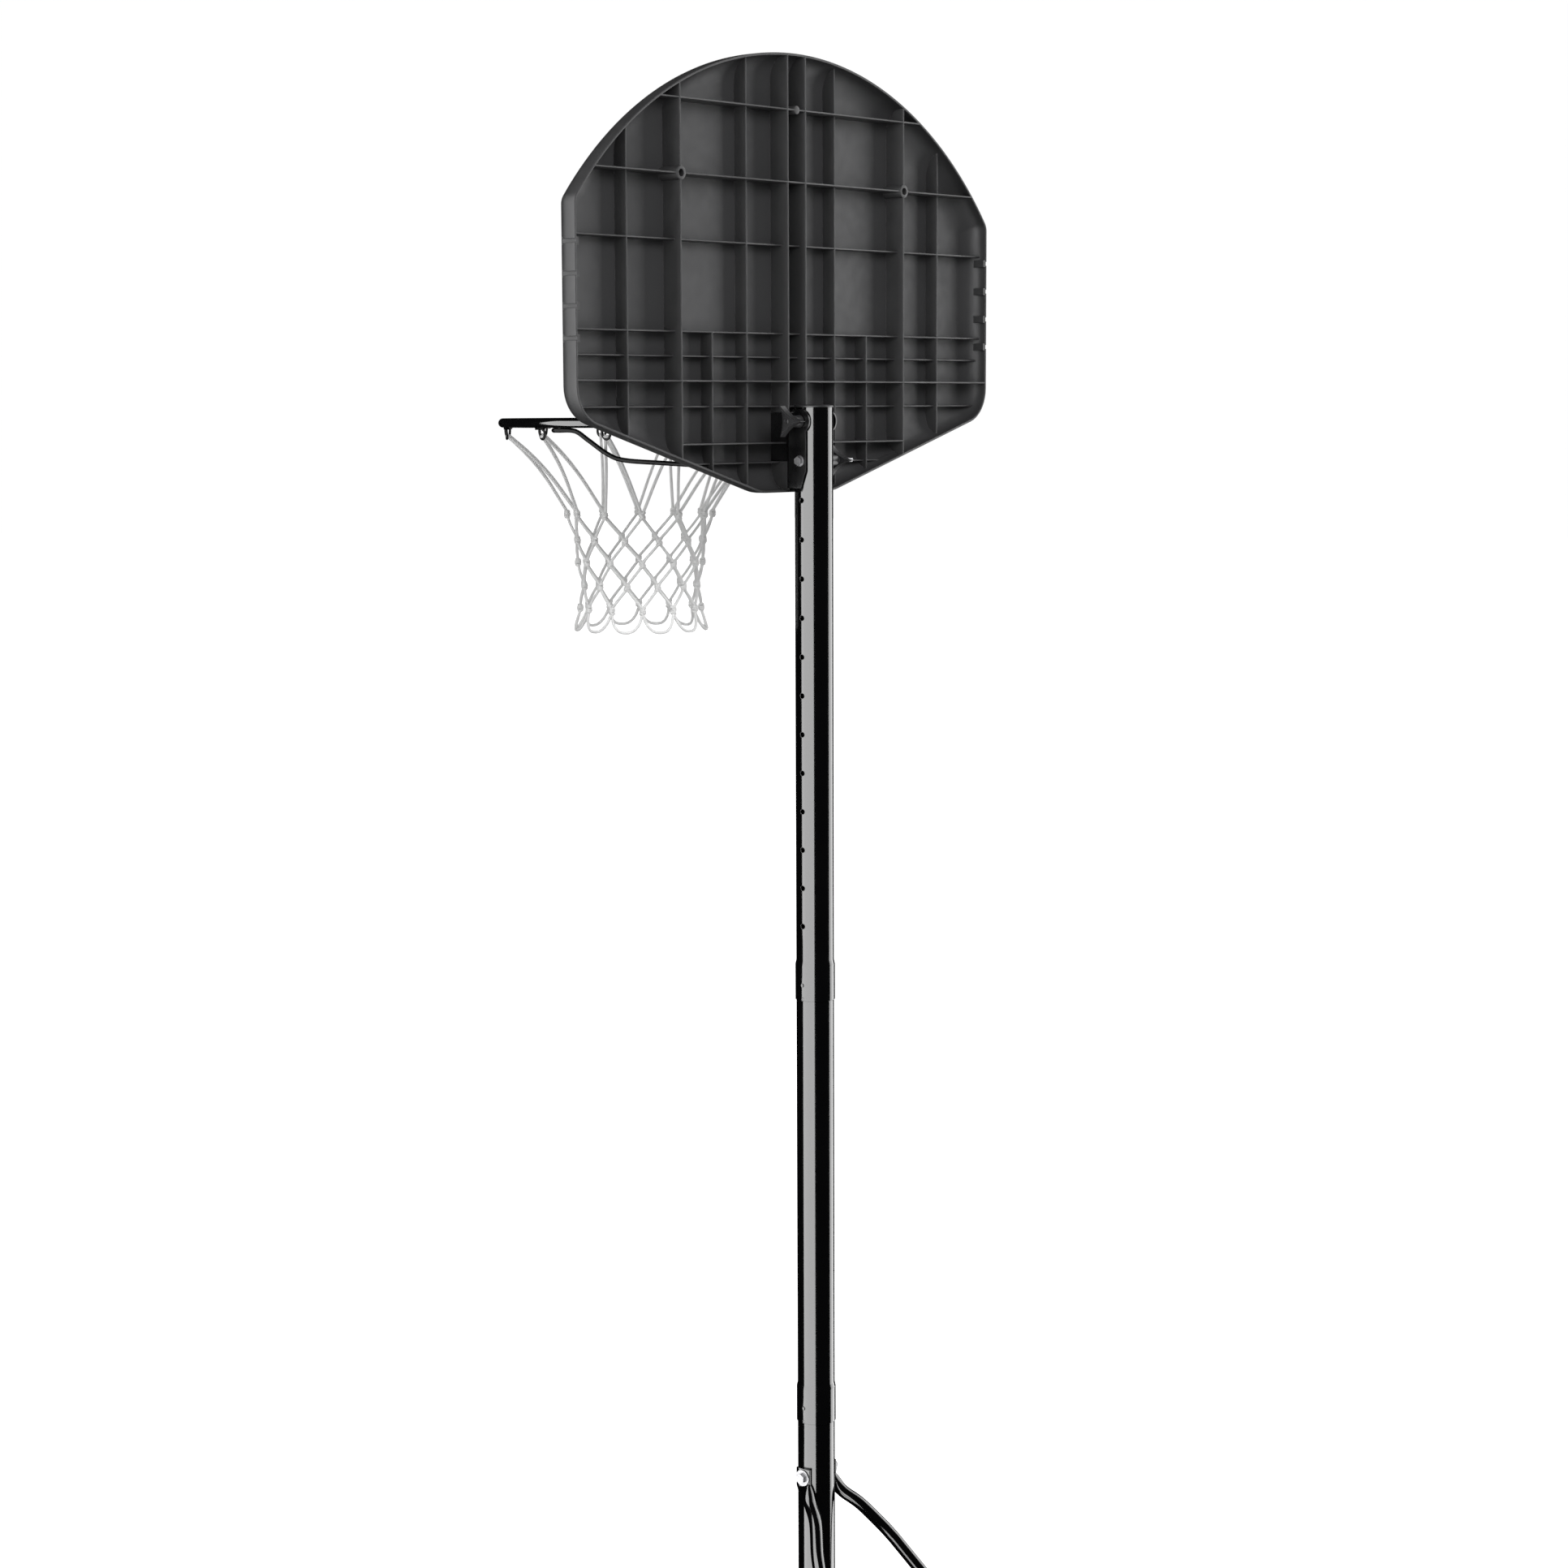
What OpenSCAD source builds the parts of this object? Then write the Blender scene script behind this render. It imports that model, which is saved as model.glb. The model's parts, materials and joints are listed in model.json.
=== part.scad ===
// Portable basketball hoop: ribbed fan-shaped board, welded rim and net on a bolted bracket,
// a three-piece pole with a row of height holes, two splayed struts and a fillable base on wheels.
// The pole's axis meets the floor at the origin. The hoop faces -Y and the base runs back to +Y.

/* [Height] */
// Height of the rim's centreline above the floor, at the top hole
rim_height = 3048; // [2500:1:3700]
// Distance between two height holes
hole_pitch = 65; // [50:0.5:80]
// Diameter of a height hole
hole_d = 8.8; // [8.7:0.1:12]
// Height of the upper bolt above the rim's centreline
bolt_rise = 2; // [-10:1:15]

/* [Pole] */
// Outside diameter of all three sections
pole_od = 64; // [50:0.5:77]
// Wall of the sections
pole_wall = 1.6; // [1.2:0.1:3]
// Length that shows of the top section
top_section = 996; // [930:1:1200]
// Length that shows of the middle section
middle_section = 740; // [500:1:900]
// Length of the belled lower end of a section
bell_length = 60; // [40:1:72]
// Radial play of a tube in a bell or in the base's socket
tube_play = 0.1; // [0.05:0.05:0.3]
// Height of the pole's top above the rim's centreline
pole_rise = 25; // [20:1:40]

/* [Backboard] */
// Width of the board
board_w = 1048; // [870:1:1260]
// Radius of the arched top edge
arch_r = 663; // [640:1:800]
// Height of the arch's top above the rim's centreline
board_above = 600; // [500:1:720]
// Depth of the board's flat lower edge below the rim's centreline
board_below = 115; // [100:1:140]
// Half the width of the flat lower edge
board_flat = 94; // [70:1:120]
// Slope of the two lower edges
board_slope = 16.4; // [14:0.1:20]
// Depth of the board from its face to the tips of the deep ribs
board_depth = 41.7; // [36:0.1:50]
// Thickness of the face and of the rounded border
board_skin = 4; // [3:0.1:5]
// Width of the rounded border, seen from behind
border_w = 41; // [30:1:60]
// Thickness of a rib
rib_t = 3.4; // [2.5:0.1:4.5]
// Distance from the deep ribs' tips back to the shallow ribs' tips
shallow_drop = 12.6; // [8:0.1:16]
// Distance from the deep ribs' tips back to the low ribs' tips
low_drop = 19; // [16:0.1:24]
// Outside diameter of the two round bosses
boss_d = 22; // [18:1:26]
// Diameter of the hole in a boss
boss_hole_d = 12; // [8:0.5:13]
// Gap between the pole and the deep ribs' tips
board_gap = 2.3; // [1.8:0.1:5]

/* [Bracket] */
// Thickness of the bracket's steel
bracket_t = 3; // [2:0.5:4]
// Play between each bracket cheek and the pole
cheek_play = 1.2; // [0.5:0.1:3]
// Distance from the pole's axis back to the cheeks' rear edge
cheek_rear = 12; // [6:1:16]
// Radius of the ear around the upper bolt
ear_r = 20; // [14:1:22]

/* [Rim] */
// Inside diameter of the ring
rim_id = 457; // [380:1:560]
// Diameter of the ring's rod
rim_rod = 15.9; // [12:0.1:18]
// Distance from the board's face to the ring's nearest inside edge
rim_setback = 92.7; // [75:0.1:160]
// Diameter of the brace rods under the ring
brace_rod = 8; // [6:0.5:10]
// Number of net hooks
hook_count = 12; // [12:1:12]
// Diameter of a net hook's wire
hook_wire = 3.6; // [3:0.1:5]
// How far a hook hangs below the ring
hook_drop = 22; // [18:1:26]

/* [Net] */
// Drop from the ring's centreline to the upper row of knots
net_shoulder_drop = 160; // [130:1:190]
// Thickness of the net's wall of cord
net_wall = 4; // [3:0.5:6]
// Radius of the net at its upper row of knots
net_shoulder_r = 127; // [105:1:155]
// Radius of the net at its waist
net_waist_r = 102; // [85:1:125]
// Radius of the net at its lower loops
net_hem_r = 117; // [97:1:140]
// Drop from the ring's centreline to the lower loops
net_drop = 362; // [300:1:430]

/* [Fasteners] */
// Diameter of the bracket and rim bolts
bolt_d = 8; // [6:0.5:8]
// Diameter of the bolt through the pole and both struts
strut_bolt_d = 10; // [8:0.5:12]
// Distance from a knob's centre to its tips
knob_r = 31; // [26:1:36]
// Thickness of a knob's three-armed head
knob_t = 14; // [10:1:18]
// Running play of a knob on its bolt and of a wheel on the axle
run_play = 0.05; // [0.02:0.01:0.09]

/* [Struts] */
// Diameter of a strut's tube
strut_d = 22; // [18:0.5:26]
// Width of a strut's flattened ends
strut_flat_w = 30; // [26:1:36]
// Thickness of a strut's flattened ends
strut_flat_t = 5; // [4:0.5:6]
// Distance from the lower pole joint down to the strut bolt
strut_bolt_drop = 96; // [60:1:140]

/* [Base] */
// Width of the base
base_w = 1290; // [1070:1:1550]
// Distance from the pole's axis back to the base's rear edge
base_rear = 780; // [650:1:940]
// Distance from the pole's axis to the base's front edge
base_front = 250; // [230:1:300]
// Width of the base's front edge
base_front_w = 600; // [590:1:720]
// Height of the base's top
base_h = 165; // [160:1:200]
// Wall of the blow-moulded tank
tank_wall = 4; // [3:0.5:5]
// Height of the collar around the pole above the base's top
collar_h = 40; // [34:1:60]
// Radius of the fill hole
fill_r = 24; // [18:1:28]

/* [Wheels] */
// Diameter of a wheel
wheel_d = 124; // [100:1:126]
// Width of a wheel
wheel_w = 34; // [24:1:40]
// Diameter of the axle
axle_d = 12; // [10:0.5:16]
// Distance from the pole's axis out to the middle of a wheel
wheel_out = 228; // [200:1:240]
// Height of a wheel above the floor while the hoop stands
wheel_lift = 4; // [3:1:8]

/* [Hidden] */
$fn = 64;

steel_black = "#141414";
plastic_black = "#2b2b2b";
plastic_grey = "#3a3a3a";
zinc = "#c9c9c9";
cord_white = "#f2f2f0";

// Pole
pole_r = pole_od / 2;
pole_ir = pole_r - pole_wall;
bell_ir = pole_r + tube_play;
bell_r = bell_ir + pole_wall;
bell_cone = 8;
pole_top_z = rim_height + pole_rise;
high_joint = pole_top_z - top_section;
low_joint = high_joint - middle_section;
socket_floor = 12;
dimple_rise = 27;

// Height holes, from the upper bolt's down to the lowest that the bracket can reach
upper_z = rim_height + bolt_rise;
lower_z = upper_z - hole_pitch;
hole_margin = 55;
hole_count = floor((upper_z - high_joint - bell_length - bell_cone - hole_margin) / hole_pitch) + 1;

// Backboard, with y running from the face (front_y) to the rib tips (tip_y)
tip_y = -(pole_r + board_gap);
front_y = tip_y - board_depth;
floor_y = front_y + board_skin;
arch_z = rim_height + board_above - arch_r;
board_low_z = rim_height - board_below;
deep_x = [22.5, 284];
shallow_x = [112.5, 395.5];
short_x = 197.5;
deep_z = [67.4, 392.7, 509.6];
bracket_rib_z = -33.4;
shallow_z = [145.8, 290.1];
low_z = [26.5, 106.9];
stub_z = -65.6;
notch_count = 4;
notch_pitch = 49;
notch_top = 278;
notch_w = 7;
notch_deep = 3;

// Bracket: its web lies on the board's floor and its cheeks run back past the pole
cheek_in = pole_r + cheek_play;
cheek_out = cheek_in + bracket_t;
web_half = 25.5;
bracket_top = rim_height + 16;
web_low = rim_height - 63;
cheek_low = rim_height - 108;
jog_y = tip_y + 0.5;
bend_gap = 3.2;

// Rim
rim_r = rim_id / 2 + rim_rod / 2;
rim_y = front_y - rim_setback - rim_id / 2;
plate_t = 4;
plate_half = 60;
plate_top = rim_height - rim_rod / 2;
plate_low = rim_height - 92;
rim_bolt_x = 14;
rim_bolt_z = [rim_height - 22, rim_height - 52];
brace_turn = 10;

// Net
hook_r = rim_r;
brace_gap = 1.5;
net_top = rim_height - rim_rod / 2 - hook_drop - 2;

// Fasteners
bolt_r = bolt_d / 2;
hole_r = hole_d / 2;
washer_t = 1.6;
head_t = 5.3;
hex_w = 1.625 * bolt_d;
insert_t = 8;
hub_l = 18;
hub_r = 9;
knob_in = cheek_out + washer_t + 0.3;

// Struts
strut_bolt_z = low_joint - strut_bolt_drop;
strut_x = pole_r + strut_flat_t / 2;
foot_x = base_w / 2 - 80;
foot_y = base_rear - 87;
pad_h = 13;
pad_z = base_h + pad_h;

// Base
socket_r = pole_r + tube_play;
socket_wall = 5;
collar_z = base_h + collar_h;
collar_bolt_z = base_h + collar_h / 2 + 2;
collar_bolt_d = 6;
axle_r = axle_d / 2;
wheel_r = wheel_d / 2;
axle_z = wheel_r + wheel_lift;
axle_y = 35 - base_front;
wheel_side_gap = 4;
cap_room = 18;
wheel_gap = 8;
fill_x = -260;
fill_y = 470;
neck_r = fill_r + 6;
neck_z = base_h + 20;
seal_t = 2;
cap_gap = 0.3;
drain_x = 260;
drain_z = 34;
drain_r = 10;

// ---------- helpers ----------

function unit(v) = v / norm(v);
function turned(v, a) = [v[0] * cos(a) - v[1] * sin(a), v[0] * sin(a) + v[1] * cos(a)];
function flatten(lists) = [for (l = lists) for (p = l) p];
function mirrored(half) = concat(half, [for (i = [len(half) - 1:-1:0]) [-half[i][0], half[i][1]]]);

// A convex outline, counterclockwise, moved inwards by d
function inset(vs, d) = [
    for (i = [0:len(vs) - 1])
        let (a = vs[(i + len(vs) - 1) % len(vs)], b = vs[i], c = vs[(i + 1) % len(vs)])
        let (m = turned(unit(b - a), 90), n = turned(unit(c - b), 90))
        b + d * (m + n) / (1 + m * n)
];

// The corner b between a and c, rounded to radius r
function corner(a, b, c, r, n) =
    let (e = unit(b - a), f = unit(c - b), turn = acos(min(1, e * f)), m = turned(e, 90))
    let (mid = b - e * r * tan(turn / 2) + m * r)
    r <= 0 ? [b] : [for (k = [0:n]) mid - turned(m, turn * k / n) * r];

// An outline whose corners i are rounded to radii rs[i]
function rounded(vs, rs, n = 6) = flatten([
    for (i = [0:len(vs) - 1])
        corner(vs[(i + len(vs) - 1) % len(vs)], vs[i], vs[(i + 1) % len(vs)], rs[i], n)
]);

// A smooth curve through the points, n steps for each stretch
function curve_at(a, b, c, d, t) =
    0.5 * (2 * b + (c - a) * t + (2 * a - 5 * b + 4 * c - d) * t * t
        + (3 * b - a - 3 * c + d) * t * t * t);
function curve(ps, n) = concat([
    for (i = [0:len(ps) - 2]) for (k = [0:n - 1])
        curve_at(ps[max(i - 1, 0)], ps[i], ps[i + 1], ps[min(i + 2, len(ps) - 1)], k / n)
], [ps[len(ps) - 1]]);

// A solid between rings that all have the same number of points
module skin(rings) {
    n = len(rings[0]);
    last = (len(rings) - 1) * n;
    polyhedron(
        points = flatten(rings),
        faces = concat(
            [[for (j = [0:n - 1]) j]],
            [[for (j = [n - 1:-1:0]) last + j]],
            [for (i = [0:len(rings) - 2]) for (j = [0:n - 1])
                [(i + 1) * n + j, (i + 1) * n + (j + 1) % n, i * n + (j + 1) % n, i * n + j]]
        )
    );
}

// A rod along a path, whose ring i has the half-widths sizes[i] across and along ref
function ring_at(path, i, size, ref, sides) =
    let (t = unit(path[min(i + 1, len(path) - 1)] - path[max(i - 1, 0)]))
    let (u = unit(cross(t, ref)), v = cross(t, u))
    [for (j = [0:sides - 1])
        path[i] + u * size[0] * cos(360 * j / sides) + v * size[1] * sin(360 * j / sides)];
module rod(path, sizes, ref, sides = 12) {
    skin([for (i = [0:len(path) - 1]) ring_at(path, i, sizes[i], ref, sides)]);
}
module round_rod(path, r, ref, sides = 12) {
    rod(path, [for (p = path) [r, r]], ref, sides);
}

// Extrusions of an outline drawn in X and Z from y0 to y1, and in Y and Z from x0 to x1
module on_xz(y0, y1) translate([0, y1, 0]) rotate([90, 0, 0]) linear_extrude(y1 - y0) children();
module on_yz(x0, x1) translate([x0, 0, 0]) rotate([90, 0, 90]) linear_extrude(x1 - x0) children();

// Round bars along X and along Y
module bar_x(x0, x1, y, z, r) translate([x0, y, z]) rotate([0, 90, 0]) cylinder(r = r, h = x1 - x0);
module bar_y(y0, y1, x, z, r) translate([x, y1, z]) rotate([90, 0, 0]) cylinder(r = r, h = y1 - y0);

module both_sides() {
    children();
    mirror([1, 0, 0]) children();
}
module hexagon(width, h) cylinder(d = width / cos(30), h = h, $fn = 6);
module washer(r_in, r_out, t = washer_t) {
    difference() {
        cylinder(r = r_out, h = t);
        translate([0, 0, -1]) cylinder(r = r_in, h = t + 2);
    }
}
// A hex bolt: its head stands on z = 0 and its shank runs down to -l
module hex_bolt(d, l, head = head_t, width = hex_w) {
    hexagon(width, head);
    translate([0, 0, -l]) cylinder(r = d / 2, h = l + 1);
}
module hex_nut(d, width, t) {
    difference() {
        hexagon(width, t);
        translate([0, 0, -1]) cylinder(r = d / 2, h = t + 2);
    }
}

// ---------- pole ----------

// A section from z0 up to z1, with a belled lower end when bell is set
module section_tube(z0, z1, bell) {
    seat = z0 + bell_length;
    rotate_extrude()
        polygon(bell
            ? [[bell_ir, z0], [bell_r, z0], [bell_r, seat], [pole_r, seat + bell_cone],
               [pole_r, z1], [pole_ir, z1], [pole_ir, seat], [bell_ir, seat]]
            : [[pole_ir, z0], [pole_r, z0], [pole_r, z1], [pole_ir, z1]]);
}
// The pressed mark and the slot that line two sections up
module joint_marks(z0) {
    translate([bell_r + 5, 0, z0 + dimple_rise]) sphere(r = 6);
    translate([bell_r - pole_wall / 2, -2, z0 - 1]) cube([pole_wall * 2, 4, 7]);
}
module pole_bottom() {
    color(steel_black) difference() {
        section_tube(socket_floor, low_joint + bell_length, false);
        bar_x(-pole_od, pole_od, 0, strut_bolt_z, strut_bolt_d / 2 + 0.3);
        bar_x(-pole_od, pole_od, 0, collar_bolt_z, collar_bolt_d / 2 + 0.3);
    }
}
module pole_middle() {
    color(steel_black) difference() {
        section_tube(low_joint, high_joint + bell_length, true);
        joint_marks(low_joint);
    }
}
module pole_top() {
    color(steel_black) difference() {
        section_tube(high_joint, pole_top_z, true);
        joint_marks(high_joint);
        for (i = [0:hole_count - 1]) bar_x(-pole_od, pole_od, 0, upper_z - i * hole_pitch, hole_r);
    }
}
module pole_cap() {
    lip = pole_r + 1;
    color(plastic_black) translate([0, 0, pole_top_z]) rotate_extrude()
        polygon([[0, -3], [pole_ir - 3, -3], [pole_ir - 3, -12], [pole_ir, -12], [pole_ir, 0],
                 [lip, 0], [lip, 2.2], [lip - 1.6, 3.6], [lip - 8, 4.4], [0, 4.8]]);
}
module collar_bolt() {
    reach = socket_r + socket_wall;
    color(zinc) translate([reach, 0, collar_bolt_z]) rotate([0, 90, 0])
        hex_bolt(collar_bolt_d, 2 * reach + 10, 4, 10);
}
module collar_nut() {
    color(zinc) translate([-socket_r - socket_wall - 5, 0, collar_bolt_z]) rotate([0, 90, 0])
        hex_nut(collar_bolt_d, 10, 5);
}

// ---------- base ----------

base_half = [[base_front_w / 2, -base_front], [base_w / 2, base_rear - 235], [base_w / 2, base_rear]];
base_corners = [80, 170, 110];
base_outline = mirrored(base_half);
base_radii = [for (i = [0, 1, 2, 2, 1, 0]) base_corners[i]];
foot_inset = 5;
foot_rise = 7;
lid_inset = 36;
shoulder_inset = 24;
shoulder_drop = 14;
lid_z = base_h - tank_wall;
socket_out = socket_r + socket_wall;
drain_boss_r = drain_r + 5;
core_r = 14;

function base_ring(d, z) = [
    for (p = rounded(inset(base_outline, d), [for (r = base_radii) max(r - d, 4)])) [p[0], p[1], z]
];
pan_ring = base_ring(foot_inset * (1 - tank_wall / foot_rise), tank_wall);
lid_ring = base_ring(lid_inset - (lid_inset - shoulder_inset) * tank_wall / shoulder_drop, lid_z);
module wheel_well(extra, low) {
    both_sides()
        translate([wheel_out - wheel_w / 2 - wheel_side_gap - extra, -base_front - 20, low])
            cube([wheel_w + wheel_side_gap + cap_room + 2 * extra,
                  axle_y + wheel_r + wheel_gap + extra + base_front + 20,
                  axle_z + wheel_r + wheel_gap + extra - low]);
}
module at_feet(z) both_sides() translate([foot_x, foot_y, z]) children();
module fill_place() translate([fill_x, fill_y, 0]) children();
module side_band() {
    skin([pan_ring, base_ring(0, foot_rise), base_ring(0, 58), base_ring(9, 62),
          base_ring(shoulder_inset, base_h - shoulder_drop), lid_ring]);
}
module base_pan() {
    color(plastic_black) difference() {
        skin([base_ring(foot_inset, 0), pan_ring]);
        wheel_well(tank_wall, -1);
    }
}
module base_walls() {
    color(plastic_black) difference() {
        side_band();
        skin([base_ring(tank_wall + 6, tank_wall - 1), base_ring(tank_wall + 2, 52),
              base_ring(tank_wall + 11, 60),
              base_ring(tank_wall + shoulder_inset + 2, base_h - shoulder_drop - 2),
              base_ring(tank_wall + lid_inset, lid_z + 1)]);
        wheel_well(tank_wall, -1);
        bar_y(base_rear - 80, base_rear + 10, drain_x, drain_z, drain_boss_r);
    }
}
module base_top() {
    color(plastic_black) difference() {
        union() {
            skin([lid_ring, base_ring(lid_inset, base_h)]);
            at_feet(base_h - 1) cylinder(r = 34, h = pad_h + 1);
            at_feet(base_h - 40) cylinder(r = core_r, h = 40);
        }
        translate([0, 0, lid_z - 1]) cylinder(r = socket_out, h = tank_wall + 2);
        fill_place() translate([0, 0, lid_z - 1]) cylinder(r = neck_r, h = tank_wall + 2);
        at_feet(pad_z - 30) cylinder(r = bolt_r, h = 40);
    }
}
module base_socket() {
    color(plastic_black) difference() {
        union() {
            translate([0, 0, tank_wall]) cylinder(r = socket_out, h = collar_z - tank_wall);
            translate([0, 0, base_h]) cylinder(r = socket_out + 9, h = 12);
        }
        translate([0, 0, socket_floor]) cylinder(r = socket_r, h = collar_z);
        bar_x(-base_w, base_w, 0, collar_bolt_z, collar_bolt_d / 2 + 0.3);
    }
}
module fill_neck() {
    color(plastic_black) fill_place() translate([0, 0, lid_z]) washer(fill_r, neck_r, neck_z - lid_z);
}
module drain_boss() {
    color(plastic_black) difference() {
        bar_y(base_rear - 60, base_rear, drain_x, drain_z, drain_boss_r);
        bar_y(base_rear - 61, base_rear + 1, drain_x, drain_z, drain_r);
    }
}
module wheel_wells() {
    color(plastic_black) difference() {
        intersection() {
            union() {
                skin([base_ring(foot_inset, 0), pan_ring]);
                side_band();
            }
            wheel_well(tank_wall, 0);
        }
        wheel_well(0, -1);
        bar_x(-wheel_out, wheel_out, axle_y, axle_z, axle_r);
    }
}
module axle_tube() {
    reach = wheel_out - wheel_w / 2 - wheel_side_gap - tank_wall;
    color(plastic_black) difference() {
        bar_x(-reach, reach, axle_y, axle_z, axle_r + 7);
        bar_x(-reach - 1, reach + 1, axle_y, axle_z, axle_r);
    }
}
module fill_cap() {
    skirt_in = neck_r + cap_gap;
    skirt_out = skirt_in + 5;
    color(plastic_grey) translate([fill_x, fill_y, 0]) difference() {
        union() {
            translate([0, 0, neck_z - 13]) cylinder(r = skirt_out, h = 22);
            for (i = [0:11]) rotate(i * 30) translate([skirt_out, 0, neck_z - 13]) cylinder(r = 2.4, h = 20);
            translate([-skirt_out + 6, -4, neck_z + 8]) cube([2 * skirt_out - 12, 8, 13]);
        }
        translate([0, 0, neck_z - 14]) cylinder(r = skirt_in, h = 14 + cap_gap + seal_t);
    }
}
module fill_cap_seal() {
    color("#8a8a8a") translate([fill_x, fill_y, neck_z + cap_gap])
        washer(fill_r - 4, neck_r, seal_t);
}
module drain_plug() {
    color(plastic_grey) {
        bar_y(base_rear + 0.3, base_rear + 7, drain_x, drain_z, drain_r + 6);
        bar_y(base_rear - 22, base_rear + 1, drain_x, drain_z, drain_r - cap_gap);
        translate([drain_x - 3, base_rear + 6, drain_z - 12]) cube([6, 10, 24]);
    }
}
module axle() {
    reach = wheel_out + wheel_w / 2 + 12;
    color(zinc) bar_x(-reach, reach, axle_y, axle_z, axle_r);
}
module axle_caps() {
    start = wheel_out + wheel_w / 2 + 1;
    color(plastic_grey) both_sides() translate([start, axle_y, axle_z]) rotate([0, 90, 0])
        rotate_extrude() polygon([[axle_r, 0], [axle_r + 8, 0], [axle_r + 8, 3], [axle_r + 5, 9],
                                  [axle_r - 1, 14], [0, 14], [0, 11], [axle_r, 11]]);
}
module wheel() {
    tread = wheel_r - 11;
    color(plastic_grey) translate([-wheel_w / 2, 0, 0]) rotate([0, 90, 0]) difference() {
        rotate_extrude() polygon([
            [axle_r + run_play, 0], [axle_r + 11, 0], [axle_r + 11, 5], [tread - 3, 10], [tread, 3],
            [wheel_r - 4, 2], [wheel_r, 7], [wheel_r, wheel_w - 7], [wheel_r - 4, wheel_w - 2],
            [tread, wheel_w - 3], [tread - 3, wheel_w - 10], [axle_r + 11, wheel_w - 5],
            [axle_r + 11, wheel_w], [axle_r + run_play, wheel_w]]);
        for (i = [0:5]) rotate(i * 60 + 30) translate([(tread + axle_r + 8) / 2, 0, -1])
            cylinder(r = 7, h = wheel_w + 2);
    }
}
module wheel_left() translate([wheel_out, axle_y, axle_z]) wheel();
module wheel_right() translate([-wheel_out, axle_y, axle_z]) mirror([1, 0, 0]) wheel();

// ---------- struts ----------

// The strut leaves the pole's side, bends out and back, and runs straight to its flattened foot
foot_turn = atan2(foot_y - 88, foot_x - 102);
strut_top = [strut_x, 0, strut_bolt_z];
strut_end = [foot_x - 36 * cos(foot_turn), foot_y - 36 * sin(foot_turn), pad_z + 27];
strut_bends = [[0, 0, -15], [2, 8, -24], [10, 24, -42], [26, 48, -62], [53, 74, -101], [66, 90, -124]];
strut_head = [for (p = strut_bends) strut_top + p];
strut_path = concat([strut_top + [0, 0, 16]], curve(strut_head, 3), [strut_end]);
tube = [strut_d / 2, strut_d / 2];
flat_top = [strut_flat_w / 2, strut_flat_t / 2];
function mixed(a, b, t) = a * (1 - t) + b * t;
strut_sizes = [for (i = [0:len(strut_path) - 1])
    i < 4 ? flat_top : i < 10 ? mixed(flat_top, tube, (i - 3) / 7) : tube];
strut_way = unit(strut_end - strut_path[len(strut_path) - 2]);
module foot_plate(x0, x1, inset = 0) {
    translate([foot_x, foot_y, pad_z + inset]) rotate(foot_turn)
        translate([x0, inset - strut_flat_w / 2, 0])
            cube([x1 - x0, strut_flat_w - 2 * inset, strut_flat_t - 2 * inset]);
}
// The squeezed end starts inside the tube and ends inside the foot plate
module strut() {
    color(steel_black) difference() {
        union() {
            rod(strut_path, strut_sizes, [1, 0, 0], 16);
            hull() {
                translate(strut_end - 5 * strut_way) sphere(d = strut_d - 1, $fn = 20);
                foot_plate(-20, -11, 0.5);
            }
            foot_plate(-14, 17);
        }
        bar_x(pole_r - 2, strut_x + 20, 0, strut_bolt_z, strut_bolt_d / 2 + 0.3);
        translate([foot_x, foot_y, pad_z - 5]) cylinder(r = bolt_r + 0.3, h = 20);
    }
}
module strut_left() strut();
module strut_right() mirror([1, 0, 0]) strut();
strut_face = pole_r + strut_flat_t;
module strut_pole_bolt() {
    color(zinc) translate([strut_face + 2, 0, strut_bolt_z]) rotate([0, 90, 0])
        hex_bolt(strut_bolt_d, 2 * strut_face + 18, 6.4, 16);
}
module strut_pole_washers() {
    color(zinc) both_sides() translate([strut_face, 0, strut_bolt_z]) rotate([0, 90, 0])
        washer(strut_bolt_d / 2, 14, 2);
}
module strut_pole_nut() {
    color(zinc) translate([-strut_face - 10, 0, strut_bolt_z]) rotate([0, 90, 0])
        hex_nut(strut_bolt_d, 16, 8);
}
foot_top = pad_z + strut_flat_t;
module strut_foot_bolts() {
    color(zinc) both_sides() translate([foot_x, foot_y, foot_top + washer_t]) hex_bolt(bolt_d, 28);
}
module strut_foot_washers() {
    color(zinc) both_sides() translate([foot_x, foot_y, foot_top]) washer(bolt_r, 11);
}

// ---------- backboard ----------

// Half of the outline, from the flat lower edge up the side and over the arch
half_w = board_w / 2;
arch_steps = 11;
side_angle = asin(half_w / arch_r);
// The arch's first step stays open where the border's width is taken off it
side_step = cos(side_angle) * (border_w * (tan(45 - side_angle / 2) + 0.1) + 8);
arch_end = asin((half_w - side_step) / arch_r);
slope_rise = (half_w - board_flat) * tan(board_slope);
board_half = concat(
    [[board_flat, board_low_z], [half_w, board_low_z + slope_rise],
     [half_w, arch_z + sqrt(arch_r * arch_r - half_w * half_w)]],
    [for (i = [0:arch_steps - 1])
        let (a = arch_end * (1 - i / arch_steps)) [arch_r * sin(a), arch_z + arch_r * cos(a)]]
);
board_outline = concat(board_half, [[0, arch_z + arch_r]],
    [for (i = [len(board_half) - 1:-1:0]) [-board_half[i][0], board_half[i][1]]]);
board_radii = [for (i = [0:len(board_outline) - 1])
    let (k = min(i, len(board_outline) - 1 - i)) k == 0 ? 90 : k == 1 ? 62 : k == 2 ? 26 : 0];

function board_points(d) = rounded(inset(board_outline, d),
    [for (r = board_radii) r > 0 ? max(r - d, 4) : 0], 5);
function board_ring(d, y) =
    let (ps = board_points(d)) [for (i = [len(ps) - 1:-1:0]) [ps[i][0], y, ps[i][1]]];

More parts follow.
